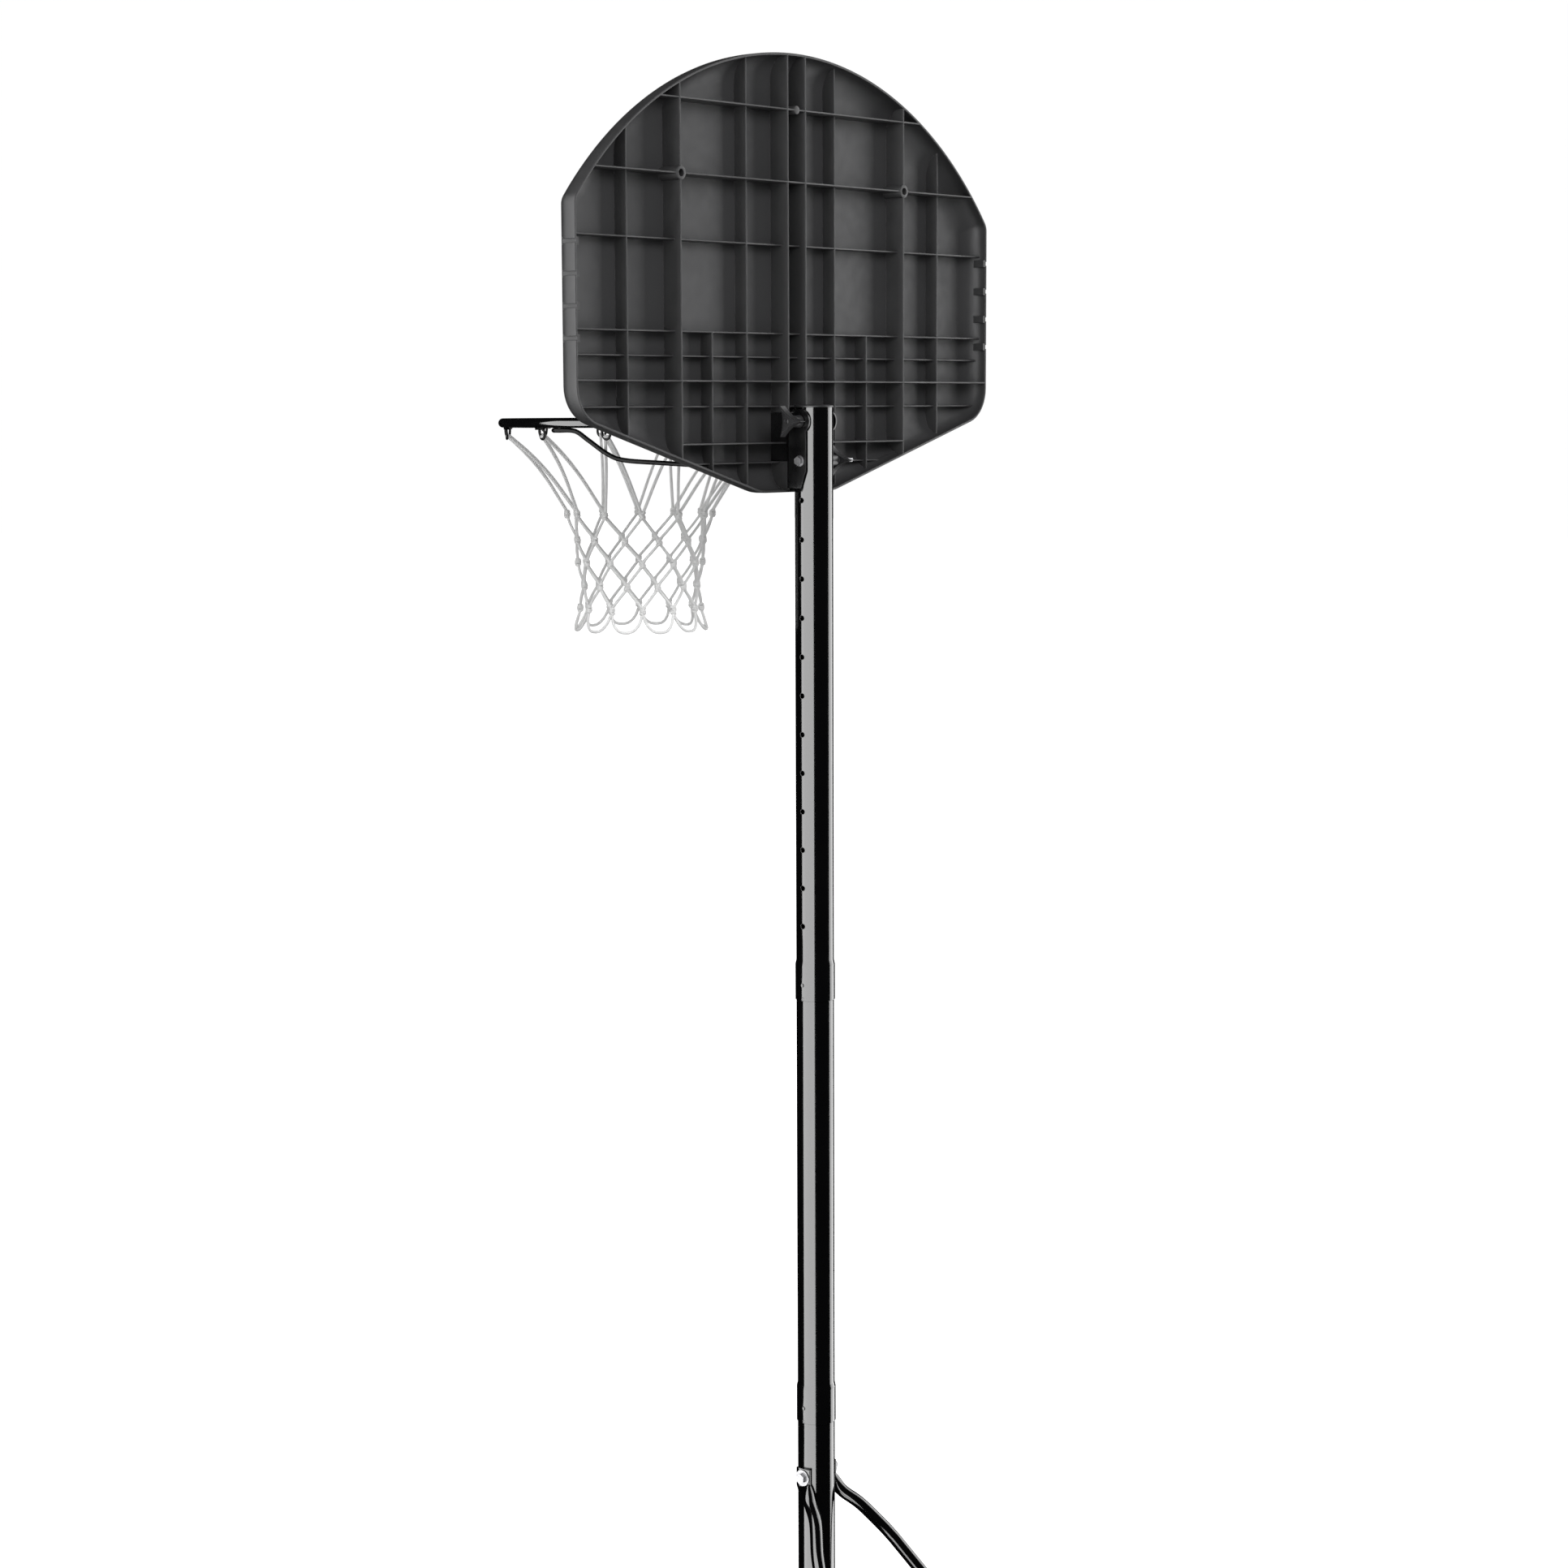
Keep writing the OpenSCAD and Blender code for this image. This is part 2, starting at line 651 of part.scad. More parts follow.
// The border rounds over from the face to the lip, outside and inside
round_y = [for (a = [0:22.5:90]) [22 * (1 - sin(a)), front_y + 24 * (1 - cos(a))]];
inside_y = [for (a = [90:-22.5:0])
    [board_skin + (border_w - board_skin) * (1 - sin(a)),
        floor_y + (board_depth - 8 - board_skin) * (1 - cos(a))]];

module tray() {
    skin(concat(
        [for (q = round_y) board_ring(q[0], q[1])],
        [board_ring(0, tip_y), board_ring(board_skin, tip_y)],
        [for (q = inside_y) board_ring(q[0], q[1])]
    ));
}
// The room for the ribs, which end inside the border's wall
module tray_block() {
    on_xz(floor_y - 2, front_y + 16) polygon(board_points(13));
    on_xz(front_y + 15.5, tip_y) polygon(board_points(2));
}
module rib_x(x, tip, z0, z1) {
    translate([x - rib_t / 2, floor_y - 1, z0]) cube([rib_t, tip - floor_y + 1, z1 - z0]);
}
module rib_z(z, tip, x0, x1) {
    translate([x0, floor_y - 1, z - rib_t / 2]) cube([x1 - x0, tip - floor_y + 1, rib_t]);
}
module ribs() {
    low = board_low_z;
    high = arch_z + arch_r;
    shallow = tip_y - shallow_drop;
    lowest = tip_y - low_drop;
    both_sides() {
        for (x = deep_x) rib_x(x, tip_y, low, high);
        for (x = shallow_x) rib_x(x, shallow, low, high);
        rib_x(short_x, shallow, low, rim_height + shallow_z[0]);
    }
    for (z = deep_z) rib_z(rim_height + z, tip_y, -half_w, half_w);
    for (z = shallow_z) rib_z(rim_height + z, shallow, -half_w, half_w);
    for (z = low_z) rib_z(rim_height + z, lowest, -half_w, half_w);
    rib_z(rim_height + bracket_rib_z, tip_y, -deep_x[1], deep_x[1]);
    rib_z(rim_height + stub_z, lowest, -deep_x[1], deep_x[1]);
}
module notch_places() {
    both_sides() for (i = [0:notch_count - 1])
        translate([half_w, 0, rim_height + notch_top - i * notch_pitch]) children();
}
module board_bosses(r, y0, y1) {
    both_sides() bar_y(y0, y1, deep_x[1], rim_height + deep_z[1], r);
}
module rim_bolt_places(y0, y1, r) {
    both_sides() for (z = rim_bolt_z) bar_y(y0, y1, rim_bolt_x, z, r);
}
module backboard() {
    color(plastic_grey) difference() {
        union() {
            tray();
            difference() {
                intersection() {
                    union() {
                        ribs();
                        board_bosses(boss_d / 2, floor_y - 1, tip_y);
                        bar_y(floor_y - 1, tip_y, 0, rim_height + deep_z[2], 7);
                        notch_places() translate([-board_skin - notch_deep, floor_y - 1, -notch_w / 2 - 3])
                            cube([board_skin + notch_deep - 1, tip_y - floor_y + 1, notch_w + 6]);
                    }
                    tray_block();
                }
                translate([-web_half - bend_gap, floor_y, web_low - 1])
                    cube([2 * (web_half + bend_gap), board_depth, bracket_top - web_low + 2]);
            }
        }
        board_bosses(boss_hole_d / 2, floor_y + 2, tip_y + 1);
        rim_bolt_places(front_y - 1, floor_y + 1, bolt_r + 0.3);
        notch_places() translate([-notch_deep, front_y - 1, -notch_w / 2])
            cube([notch_deep + 1, board_depth + 2, notch_w]);
    }
}

// ---------- bracket ----------

module board_bracket() {
    w = web_half;
    t = bracket_t;
    bent = [[w, floor_y], [w, jog_y - 4], [cheek_out, jog_y + 10],
            [cheek_out, ear_r + 2], [cheek_in, ear_r + 2], [cheek_in, jog_y + 11],
            [w - t, jog_y - 3], [w - t, floor_y + t]];
    color(steel_black) difference() {
        intersection() {
            translate([0, 0, cheek_low]) linear_extrude(bracket_top + ear_r - cheek_low)
                polygon(mirrored(bent));
            on_yz(-cheek_out - 1, cheek_out + 1) union() {
                polygon([[floor_y - 1, web_low], [jog_y, web_low], [jog_y, cheek_low],
                         [cheek_rear - 10, cheek_low], [cheek_rear, cheek_low + 28],
                         [cheek_rear, bracket_top], [floor_y - 1, bracket_top]]);
                translate([0, upper_z]) circle(r = ear_r);
            }
        }
        for (z = [upper_z, lower_z]) bar_x(-cheek_out - 1, cheek_out + 1, 0, z, bolt_r + 0.2);
        rim_bolt_places(floor_y - 1, floor_y + t + 1, bolt_r + 0.3);
    }
}

// A hex bolt across the bracket: its head is outside the -X cheek when side is -1
module cross_bolt(side, z, reach) {
    translate([side * cheek_out + side * washer_t, 0, z]) rotate([0, side * 90, 0])
        hex_bolt(bolt_d, cheek_out + washer_t + reach);
}
module cheek_washers(z) {
    both_sides() translate([cheek_out, 0, z]) rotate([0, 90, 0]) washer(bolt_r, 9);
}
module upper_bolt() color(zinc) cross_bolt(-1, upper_z, knob_in + hub_l + 8);
module lower_bolt() color(zinc) cross_bolt(1, lower_z, knob_in + hub_l + knob_t + 28);
module upper_washers() color(zinc) cheek_washers(upper_z);
module lower_washers() color(zinc) cheek_washers(lower_z);

// The knob's head: three arms with hollow sides between them
function knob_side(i) =
    let (a = knob_r * [cos(i * 120), sin(i * 120)], b = knob_r * [cos(i * 120 + 120), sin(i * 120 + 120)])
    let (across = b - a, inward = -unit(a + b))
    [for (k = [0:10]) let (t = 0.03 + 0.94 * k / 10) a + across * t + inward * 22 * t * (1 - t)];
knob_outline = flatten([for (i = [0:2]) knob_side(i)]);

// Built along +Z from its hub, with a pocket for its insert and a through hole for the bolt
module knob() {
    difference() {
        union() {
            cylinder(r1 = hub_r + 1.5, r2 = hub_r, h = hub_l + 1);
            translate([0, 0, hub_l]) linear_extrude(knob_t - 1.5) polygon(knob_outline);
            translate([0, 0, hub_l + 1]) linear_extrude(knob_t - 1)
                offset(delta = -1.8) polygon(knob_outline);
        }
        translate([0, 0, -1]) cylinder(r = bolt_r + 0.4, h = hub_l + knob_t + 3);
        translate([0, 0, -1]) hexagon(hex_w, insert_t + 1);
    }
}
module knob_insert() hex_nut(2 * (bolt_r + run_play), hex_w, insert_t);
module upper_knob_place() translate([knob_in, 0, upper_z]) rotate([0, 90, 0]) rotate(90) children();
module lower_knob_place() translate([-knob_in, 0, lower_z]) rotate([0, -90, 0]) rotate(90) children();
module upper_knob() color(plastic_black) upper_knob_place() knob();
module upper_knob_insert() color(zinc) upper_knob_place() knob_insert();
module lower_knob() color(plastic_black) lower_knob_place() knob();
module lower_knob_insert() color(zinc) lower_knob_place() knob_insert();

// ---------- rim ----------

module rim_plate() {
    face = front_y - plate_t;
    shelf = rim_y + sqrt(rim_r * rim_r - plate_half * plate_half) + 4;
    color(steel_black) difference() {
        union() {
            translate([-plate_half, face, plate_low]) cube([2 * plate_half, plate_t, plate_top - plate_low]);
            translate([0, 0, plate_top - plate_t]) linear_extrude(plate_t)
                polygon([[-plate_half, front_y], [plate_half, front_y],
                         [plate_half - 8, shelf - 14], [8 - plate_half, shelf - 14]]);
            both_sides() on_yz(38, 38 + plate_t)
                polygon([[face + 1, plate_top - 1], [face - 62, plate_top - 1], [face + 1, plate_low + 14]]);
        }
        rim_bolt_places(face - 1, front_y + 1, bolt_r + 0.3);
    }
}
module rim_ring() {
    color(steel_black) translate([0, rim_y, rim_height]) rim_torus();
}
module rim_torus() rotate_extrude($fn = 96) translate([rim_r, 0]) circle(d = rim_rod, $fn = 32);
function ring_point(a, drop, out = 0) =
    [(rim_r + out) * cos(a), rim_y + (rim_r + out) * sin(a), rim_height - rim_rod / 2 - drop];
brace_end = [plate_half - 6, front_y - plate_t - brace_rod / 2, plate_low + 16];
brace_start = ring_point(brace_turn, brace_rod / 2);
function brace_point(t, drop) = [
    brace_start[0] + (brace_end[0] - brace_start[0]) * t,
    brace_start[1] + (brace_end[1] - brace_start[1]) * t,
    brace_start[2] + (brace_end[2] - brace_start[2]) * drop
];
brace_path = curve([ring_point(brace_turn - 9, brace_rod / 2), ring_point(brace_turn - 3, brace_rod / 2),
    brace_point(0.07, 0.02), brace_point(0.14, 0.26), brace_point(0.24, 0.62), brace_point(0.33, 0.78),
    brace_point(0.55, 0.86), brace_point(1, 1)], 3);
module brace(extra = 0) round_rod(brace_path, brace_rod / 2 + extra, [0, 0, 1], 12);
module brace_left() color(steel_black) brace();
module brace_right() color(steel_black) mirror([1, 0, 0]) brace();

// A hook curls under the ring: down, round and back up, with its tip free
hook_half = 6.5;
hook_curve = [[-hook_half, 0, 1], [-hook_half, 0, -4], [-hook_half + 1, 0, -hook_drop + 5],
    [-1.5, 1, -hook_drop + hook_wire / 2], [4, 2, -hook_drop + 4], [hook_half - 1, 3, -hook_drop + 9],
    [3, 4, -5]];
module hook() {
    round_rod([for (p = curve(hook_curve, 2)) [hook_r + p[1], p[0], p[2] - rim_rod / 2 + 0.4]],
        hook_wire / 2, [1, 0, 0], 6);
    translate([hook_r - 2.5, -18, -rim_rod / 2 - 3.4]) cube([5, 12, 4]);
}
// A hook's strip points away from the brace that starts beside it
module net_hooks() {
    color(steel_black) translate([0, rim_y, rim_height]) difference() {
        both_sides() for (i = [0:hook_count / 2 - 1])
            let (a = (i + 0.5) * 360 / hook_count - 90)
                rotate(a) mirror([0, a > brace_turn && a < brace_turn + 360 / hook_count ? 1 : 0, 0]) hook();
        rim_torus();
    }
}
module rim_bolts() {
    color(zinc) both_sides() for (z = rim_bolt_z)
        translate([rim_bolt_x, front_y - plate_t, z]) rotate([90, 0, 0]) {
            cylinder(r1 = 8.5, r2 = 5, h = 4);
            translate([0, 0, -plate_t - board_skin - bracket_t - 14])
                cylinder(r = bolt_r, h = plate_t + board_skin + bracket_t + 15);
        }
}
module rim_washers() {
    color(zinc) both_sides() for (z = rim_bolt_z)
        translate([rim_bolt_x, floor_y + bracket_t, z]) rotate([-90, 0, 0]) washer(bolt_r, 8);
}
module rim_nuts() {
    color(zinc) both_sides() for (z = rim_bolt_z)
        translate([rim_bolt_x, floor_y + bracket_t + washer_t, z]) rotate([-90, 0, 0])
            hex_nut(bolt_d, 13, 6.5);
}

// ---------- net ----------

net_steps = 3;
net_line = curve([[rim_r - 2, net_top],
    [(rim_r - 2 + net_shoulder_r) / 2 - 9, (net_top + rim_height - net_shoulder_drop) / 2],
    [net_shoulder_r, rim_height - net_shoulder_drop],
    [net_waist_r, rim_height - net_drop + 80], [net_hem_r, rim_height - net_drop]], net_steps);
module net_band(i0, i1) {
    translate([0, rim_y, 0]) rotate_extrude($fn = 48)
        polygon(concat([for (i = [i0:i1]) net_line[i]],
            [for (i = [i1:-1:i0]) net_line[i] - [net_wall, 0]]));
}
module net_upper() {
    color(cord_white) difference() {
        net_band(0, 2 * net_steps);
        both_sides() brace(brace_gap);
    }
}
module net_lower() color(cord_white) net_band(2 * net_steps, 4 * net_steps);

base_pan();
base_walls();
base_top();
base_socket();
fill_neck();
drain_boss();
wheel_wells();
axle_tube();
fill_cap();
fill_cap_seal();
drain_plug();
axle();
axle_caps();
wheel_left();
wheel_right();
pole_bottom();
pole_middle();
pole_top();
pole_cap();
collar_bolt();
collar_nut();
strut_left();
strut_right();
strut_pole_bolt();
strut_pole_nut();
strut_pole_washers();
strut_foot_bolts();
strut_foot_washers();
backboard();
board_bracket();
rim_plate();
rim_ring();
brace_left();
brace_right();
net_hooks();
net_upper();
net_lower();
rim_bolts();
rim_washers();
rim_nuts();
upper_bolt();
upper_washers();
upper_knob();
upper_knob_insert();
lower_bolt();
lower_washers();
lower_knob();
lower_knob_insert();
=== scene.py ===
"""The looks of a portable basketball hoop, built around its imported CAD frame. Metres, +Z up."""

import json
from math import acos, asin, cos, pi, radians, sin, sqrt, tan

import bmesh
import bpy
from mathutils import Matrix, Vector


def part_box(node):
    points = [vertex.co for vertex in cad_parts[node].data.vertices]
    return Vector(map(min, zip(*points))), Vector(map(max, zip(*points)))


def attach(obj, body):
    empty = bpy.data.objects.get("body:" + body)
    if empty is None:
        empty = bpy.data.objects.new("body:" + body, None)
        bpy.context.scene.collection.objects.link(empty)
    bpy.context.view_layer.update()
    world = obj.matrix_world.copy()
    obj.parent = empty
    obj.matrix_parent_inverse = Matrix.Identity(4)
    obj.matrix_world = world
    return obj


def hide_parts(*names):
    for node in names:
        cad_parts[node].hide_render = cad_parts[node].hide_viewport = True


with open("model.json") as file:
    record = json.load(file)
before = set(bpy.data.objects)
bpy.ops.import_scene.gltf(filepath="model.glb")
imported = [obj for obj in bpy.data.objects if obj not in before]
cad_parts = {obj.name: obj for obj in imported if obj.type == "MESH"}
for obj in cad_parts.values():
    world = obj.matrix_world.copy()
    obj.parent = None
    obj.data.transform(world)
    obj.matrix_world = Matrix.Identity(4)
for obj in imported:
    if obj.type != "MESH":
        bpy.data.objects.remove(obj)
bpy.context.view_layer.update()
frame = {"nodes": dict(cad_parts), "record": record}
NODES = frame["nodes"]
MM = 0.001

# ---------- sizes that the frame gives ----------
RING_LO, RING_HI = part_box("rim_ring")
ROD_R = (RING_HI.z - RING_LO.z) / 2
RIM = Vector((0, (RING_LO.y + RING_HI.y) / 2, (RING_LO.z + RING_HI.z) / 2))
RIM_R = (RING_HI.x - RING_LO.x) / 2 - ROD_R
BOARD_LO, BOARD_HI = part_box("backboard")
HALF_W = BOARD_HI.x
FRONT_Y, TIP_Y = BOARD_LO.y, BOARD_HI.y
BOARD_TOP, BOARD_LOW = BOARD_HI.z, BOARD_LO.z
HOOK_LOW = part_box("net_hooks")[0].z
NET_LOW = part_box("net_lower")[0].z


def unit(v):
    return v.normalized()


def smooth(points, n):
    """A Catmull-Rom curve through the points, n steps for each stretch."""
    out = []
    last = len(points) - 1
    for i in range(last):
        a, b = points[max(i - 1, 0)], points[i]
        c, d = points[i + 1], points[min(i + 2, last)]
        for k in range(n):
            t = k / n
            out.append(0.5 * (2 * b + (c - a) * t + (2 * a - 5 * b + 4 * c - d) * t * t
                              + (3 * b - a - 3 * c + d) * t ** 3))
    return out + [points[-1]]


# ---------- meshes ----------

def new_object(name, verts, faces, sharp=None):
    mesh = bpy.data.meshes.new(name)
    mesh.from_pydata([tuple(v) for v in verts], [], faces)
    return link(name, mesh, sharp)


def link(name, mesh, sharp=None):
    obj = bpy.data.objects.new(name, mesh)
    bpy.context.scene.collection.objects.link(obj)
    fair(mesh, sharp)
    return obj


def fair(mesh, sharp):
    """Normals outward, and smooth shading except across edges sharper than that angle."""
    bm = bmesh.new()
    bm.from_mesh(mesh)
    bmesh.ops.recalc_face_normals(bm, faces=bm.faces)
    bm.to_mesh(mesh)
    bm.free()
    for p in mesh.polygons:
        p.use_smooth = True
    if sharp:
        mesh.set_sharp_from_angle(angle=radians(sharp))


def loft(rings, closed=False):
    """Verts and faces between rings of the same number of points, capped unless closed."""
    n = len(rings[0])
    verts = [p for ring in rings for p in ring]
    faces = []
    for i in range(len(rings) if closed else len(rings) - 1):
        a, b = i * n, (i + 1) % len(rings) * n
        for j in range(n):
            k = (j + 1) % n
            faces.append((a + j, a + k, b + k, b + j))
    if not closed:
        faces.append(tuple(range(n - 1, -1, -1)))
        faces.append(tuple(range(len(verts) - n, len(verts))))
    return verts, faces


def merged(parts):
    """One verts and faces list from several."""
    verts, faces = [], []
    for vs, fs in parts:
        base = len(verts)
        verts += vs
        faces += [tuple(base + i for i in f) for f in fs]
    return verts, faces


def tube(path, radius, sides=8, closed=False, round_ends=True):
    """A tube along a path; radius is a number or one for each point."""
    n = len(path)
    radii = radius if isinstance(radius, list) else [radius] * n
    tangents = []
    for i in range(n):
        a = path[i - 1] if i or closed else path[i]
        b = path[(i + 1) % n] if i < n - 1 or closed else path[i]
        tangents.append(unit(b - a))
    side = unit(tangents[0].orthogonal())
    rings = []
    for i in range(n):
        side = unit(side - tangents[i] * side.dot(tangents[i]))
        other = tangents[i].cross(side)
        rings.append([path[i] + (side * cos(2 * pi * j / sides) + other * sin(2 * pi * j / sides))
                      * radii[i] for j in range(sides)])
    if round_ends and not closed:
        rings = cap_rings(rings, path[0], tangents[0], -1)[::-1] + rings \
            + cap_rings(rings, path[-1], tangents[-1], 1)
    return loft(rings, closed)


def cap_rings(rings, centre, tangent, way):
    source = rings[0] if way < 0 else rings[-1]
    r = (source[0] - centre).length
    return [[centre + tangent * (way * r * sin(a)) + (p - centre) * cos(a) for p in source]
            for a in (radians(35), radians(62), radians(80))]


def lathe(profile, centre, axis, sides=48):
    """A turned solid whose profile is a list of (radius, along) pairs, closed on itself."""
    axis = unit(Vector(axis))
    e = unit(axis.orthogonal())
    f = axis.cross(e)
    rings = [[centre + axis * h + (e * cos(2 * pi * j / sides) + f * sin(2 * pi * j / sides)) * r
              for j in range(sides)] for r, h in profile]
    return loft(rings, closed=True)


def shrunk(outline, d):
    """The corners of a counterclockwise outline, moved inward by d."""
    out = []
    n = len(outline)
    for i in range(n):
        a, b, c = (Vector(outline[k % n]) for k in (i - 1, i, i + 1))
        m, q = unit(b - a), unit(c - b)
        m, q = Vector((-m.y, m.x)), Vector((-q.y, q.x))
        p = b + (m + q) * (d / (1 + m.dot(q)))
        out.append((p.x, p.y))
    return out


def piece(name, parts, body, slot, nodes=(), sharp=None, look=None):
    obj = new_object(name, *merged(parts), sharp)
    return settle(obj, body, slot, nodes, look)


def settle(obj, body, slot, nodes=(), look=None):
    obj.data.materials.clear()
    obj.data.materials.append(MATERIALS[look or slot])
    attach(obj, body)
    if nodes:
        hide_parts(*nodes)
    return obj


def boolean(target, tools, operation):
    """The target's mesh joined with, or cut by, every tool, which then goes."""
    group = bpy.data.collections.new("tools")
    bpy.context.scene.collection.children.link(group)
    for tool in tools:
        bpy.context.scene.collection.objects.unlink(tool)
        group.objects.link(tool)
    change = target.modifiers.new("change", "BOOLEAN")
    change.operand_type = "COLLECTION"
    change.collection = group
    change.operation = operation
    change.solver = "EXACT"
    if operation == "UNION":
        change.use_self = True
    bpy.context.view_layer.update()
    ready = target.evaluated_get(bpy.context.evaluated_depsgraph_get())
    mesh = bpy.data.meshes.new_from_object(ready)
    target.modifiers.clear()
    target.data = mesh
    for tool in tools:
        bpy.data.objects.remove(tool)
    bpy.data.collections.remove(group)


# ---------- materials ----------

def finish(name, colour, rough, spread, grain, depth, tone=0.15, metal=0.0, bevel=0.0,
           specular=0.5, kind="noise", patch=6.0, sheen=0.0):
    """A shader whose colour, roughness and surface all vary with place on the piece.
    grain is in cells a metre, depth in metres, patch in slow changes a metre."""
    mat = bpy.data.materials.new(name)
    mat.use_nodes = True
    nodes, links = mat.node_tree.nodes, mat.node_tree.links
    bsdf = nodes["Principled BSDF"]
    where = nodes.new("ShaderNodeTexCoord")

    def noise(scale, detail, distortion=0.0):
        node = nodes.new("ShaderNodeTexNoise")
        node.inputs["Scale"].default_value = scale
        node.inputs["Detail"].default_value = detail
        node.inputs["Distortion"].default_value = distortion
        links.new(where.outputs["Object"], node.inputs["Vector"])
        return node.outputs["Fac"]

    def ranged(value, low, high):
        node = nodes.new("ShaderNodeMapRange")
        node.inputs["From Min"].default_value = 0.3
        node.inputs["From Max"].default_value = 0.7
        node.inputs["To Min"].default_value = low
        node.inputs["To Max"].default_value = high
        links.new(value, node.inputs["Value"])
        return node.outputs["Result"]

    slow = noise(patch, 4, 0.6)
    mix = nodes.new("ShaderNodeMix")
    mix.data_type = "RGBA"
    mix.inputs["A"].default_value = (*[c * (1 - tone) for c in colour], 1)
    mix.inputs["B"].default_value = (*[min(1, c * (1 + tone)) for c in colour], 1)
    links.new(ranged(slow, 0, 1), mix.inputs["Factor"])
    links.new(mix.outputs["Result"], bsdf.inputs["Base Color"])
    links.new(ranged(noise(patch * 7, 3), rough - spread, rough + spread), bsdf.inputs["Roughness"])
    bsdf.inputs["Metallic"].default_value = metal
    bsdf.inputs["Specular IOR Level"].default_value = specular
    bsdf.inputs["Sheen Weight"].default_value = sheen
    bump = nodes.new("ShaderNodeBump")
    bump.inputs["Strength"].default_value = 1.0
    bump.inputs["Distance"].default_value = depth
    if kind == "cells":
        cells = nodes.new("ShaderNodeTexVoronoi")
        cells.inputs["Scale"].default_value = grain
        links.new(where.outputs["Object"], cells.inputs["Vector"])
        links.new(cells.outputs["Distance"], bump.inputs["Height"])
    elif kind == "braid":
        wave = nodes.new("ShaderNodeTexWave")
        wave.wave_type = "BANDS"
        wave.bands_direction = "DIAGONAL"
        wave.inputs["Scale"].default_value = grain
        wave.inputs["Distortion"].default_value = 3.0
        wave.inputs["Detail"].default_value = 2.0
        wave.inputs["Detail Scale"].default_value = 2.0
        links.new(where.outputs["Object"], wave.inputs["Vector"])
        links.new(wave.outputs["Fac"], bump.inputs["Height"])
    else:
        links.new(noise(grain, 3), bump.inputs["Height"])
    if bevel:
        edge = nodes.new("ShaderNodeBevel")
        edge.samples = 4
        edge.inputs["Radius"].default_value = bevel
        links.new(edge.outputs["Normal"], bump.inputs["Normal"])
    links.new(bump.outputs["Normal"], bsdf.inputs["Normal"])
    return mat


MATERIALS = {
    "board_plastic": finish("board_plastic", (0.031, 0.031, 0.032), 0.50, 0.05, 1400, 0.00005,
                            bevel=0.0008, specular=0.20, tone=0.07),
    "pole_paint": finish("pole_paint", (0.002, 0.002, 0.0022), 0.10, 0.02, 260, 0.00001,
                         bevel=0.001),
    "rim_paint": finish("rim_paint", (0.005, 0.005, 0.0055), 0.10, 0.03, 300, 0.00001,
                        bevel=0.0006),
    "rod_paint": finish("rod_paint", (0.005, 0.005, 0.0055), 0.20, 0.04, 400, 0.00001,
                        bevel=0.0004, specular=0.06),
    "bracket_paint": finish("bracket_paint", (0.0025, 0.0025, 0.003), 0.30, 0.05, 600, 0.00002,
                            bevel=0.0006, specular=0.35),
    "zinc": finish("zinc", (0.20, 0.20, 0.205), 0.42, 0.08, 900, 0.00002, metal=1.0, bevel=0.0004,
                   tone=0.10, patch=40),
    "base_plastic": finish("base_plastic", (0.026, 0.026, 0.028), 0.48, 0.07, 420, 0.0002,
                           kind="cells", bevel=0.003),
    "board_marking": finish("board_marking", (0.55, 0.55, 0.55), 0.50, 0.06, 900, 0.00004),
    "knob_plastic": finish("knob_plastic", (0.022, 0.022, 0.023), 0.42, 0.05, 1500, 0.00004,
                           bevel=0.0006, specular=0.3),
    "wheel_plastic": finish("wheel_plastic", (0.045, 0.045, 0.047), 0.45, 0.06, 1200, 0.00005,
                            bevel=0.001),
    "cap_plastic": finish("cap_plastic", (0.045, 0.045, 0.047), 0.42, 0.06, 1200, 0.00005,
                          bevel=0.001),
    "seal_rubber": finish("seal_rubber", (0.11, 0.11, 0.11), 0.75, 0.08, 1600, 0.00006),
    "net_cord": finish("net_cord", (0.84, 0.84, 0.835), 0.70, 0.08, 420, 0.0004, tone=0.05,
                       kind="braid", sheen=0.2, patch=60),
}


# ---------- camera, floor and light ----------

PAN = radians(49.503)
CAMERA_PITCH, CAMERA_ROLL = 7.252, -0.224
CAMERA_PLACE = (3.7876, 3.1666, 3.0723)
LENS, SENSOR = 67.88, 36
FLOOR_REACH = 60.0
PANEL_LOW, PANEL_HIGH = (-1.8, -1.6), 6.4
FILL_PLACE, FILL_AIM = (0.75, 2.3, 4.3), Vector((0, 0, 2.9))
FILL_WIDTH, FILL_POWER = 1.5, 56
WORLD_SOFT, WORLD_SHINE = 0.62, 0.005


def direction(degrees):
    """A level direction, turned from the camera's towards the right of its picture."""
    turn = radians(degrees)
    back = Vector((sin(PAN), cos(PAN), 0))
    right = Vector((-cos(PAN), sin(PAN), 0))
    return back * cos(turn) + right * sin(turn)


def make_camera():
    pitch, roll = radians(CAMERA_PITCH), radians(CAMERA_ROLL)
    ahead = -direction(0)
    right = direction(90)
    up = Vector((0, 0, 1))
    look = ahead * cos(pitch) - up * sin(pitch)
    top = up * cos(pitch) + ahead * sin(pitch)
    across = right * cos(roll) + top * sin(roll)
    top = top * cos(roll) - right * sin(roll)
    data = bpy.data.cameras.new("camera")
    data.lens = LENS
    data.sensor_width = SENSOR
    data.clip_end = 200
    camera = bpy.data.objects.new("camera", data)
    camera.matrix_world = Matrix((across, top, -look)).transposed().to_4x4()
    camera.matrix_world.translation = CAMERA_PLACE
    bpy.context.scene.collection.objects.link(camera)
    bpy.context.scene.camera = camera


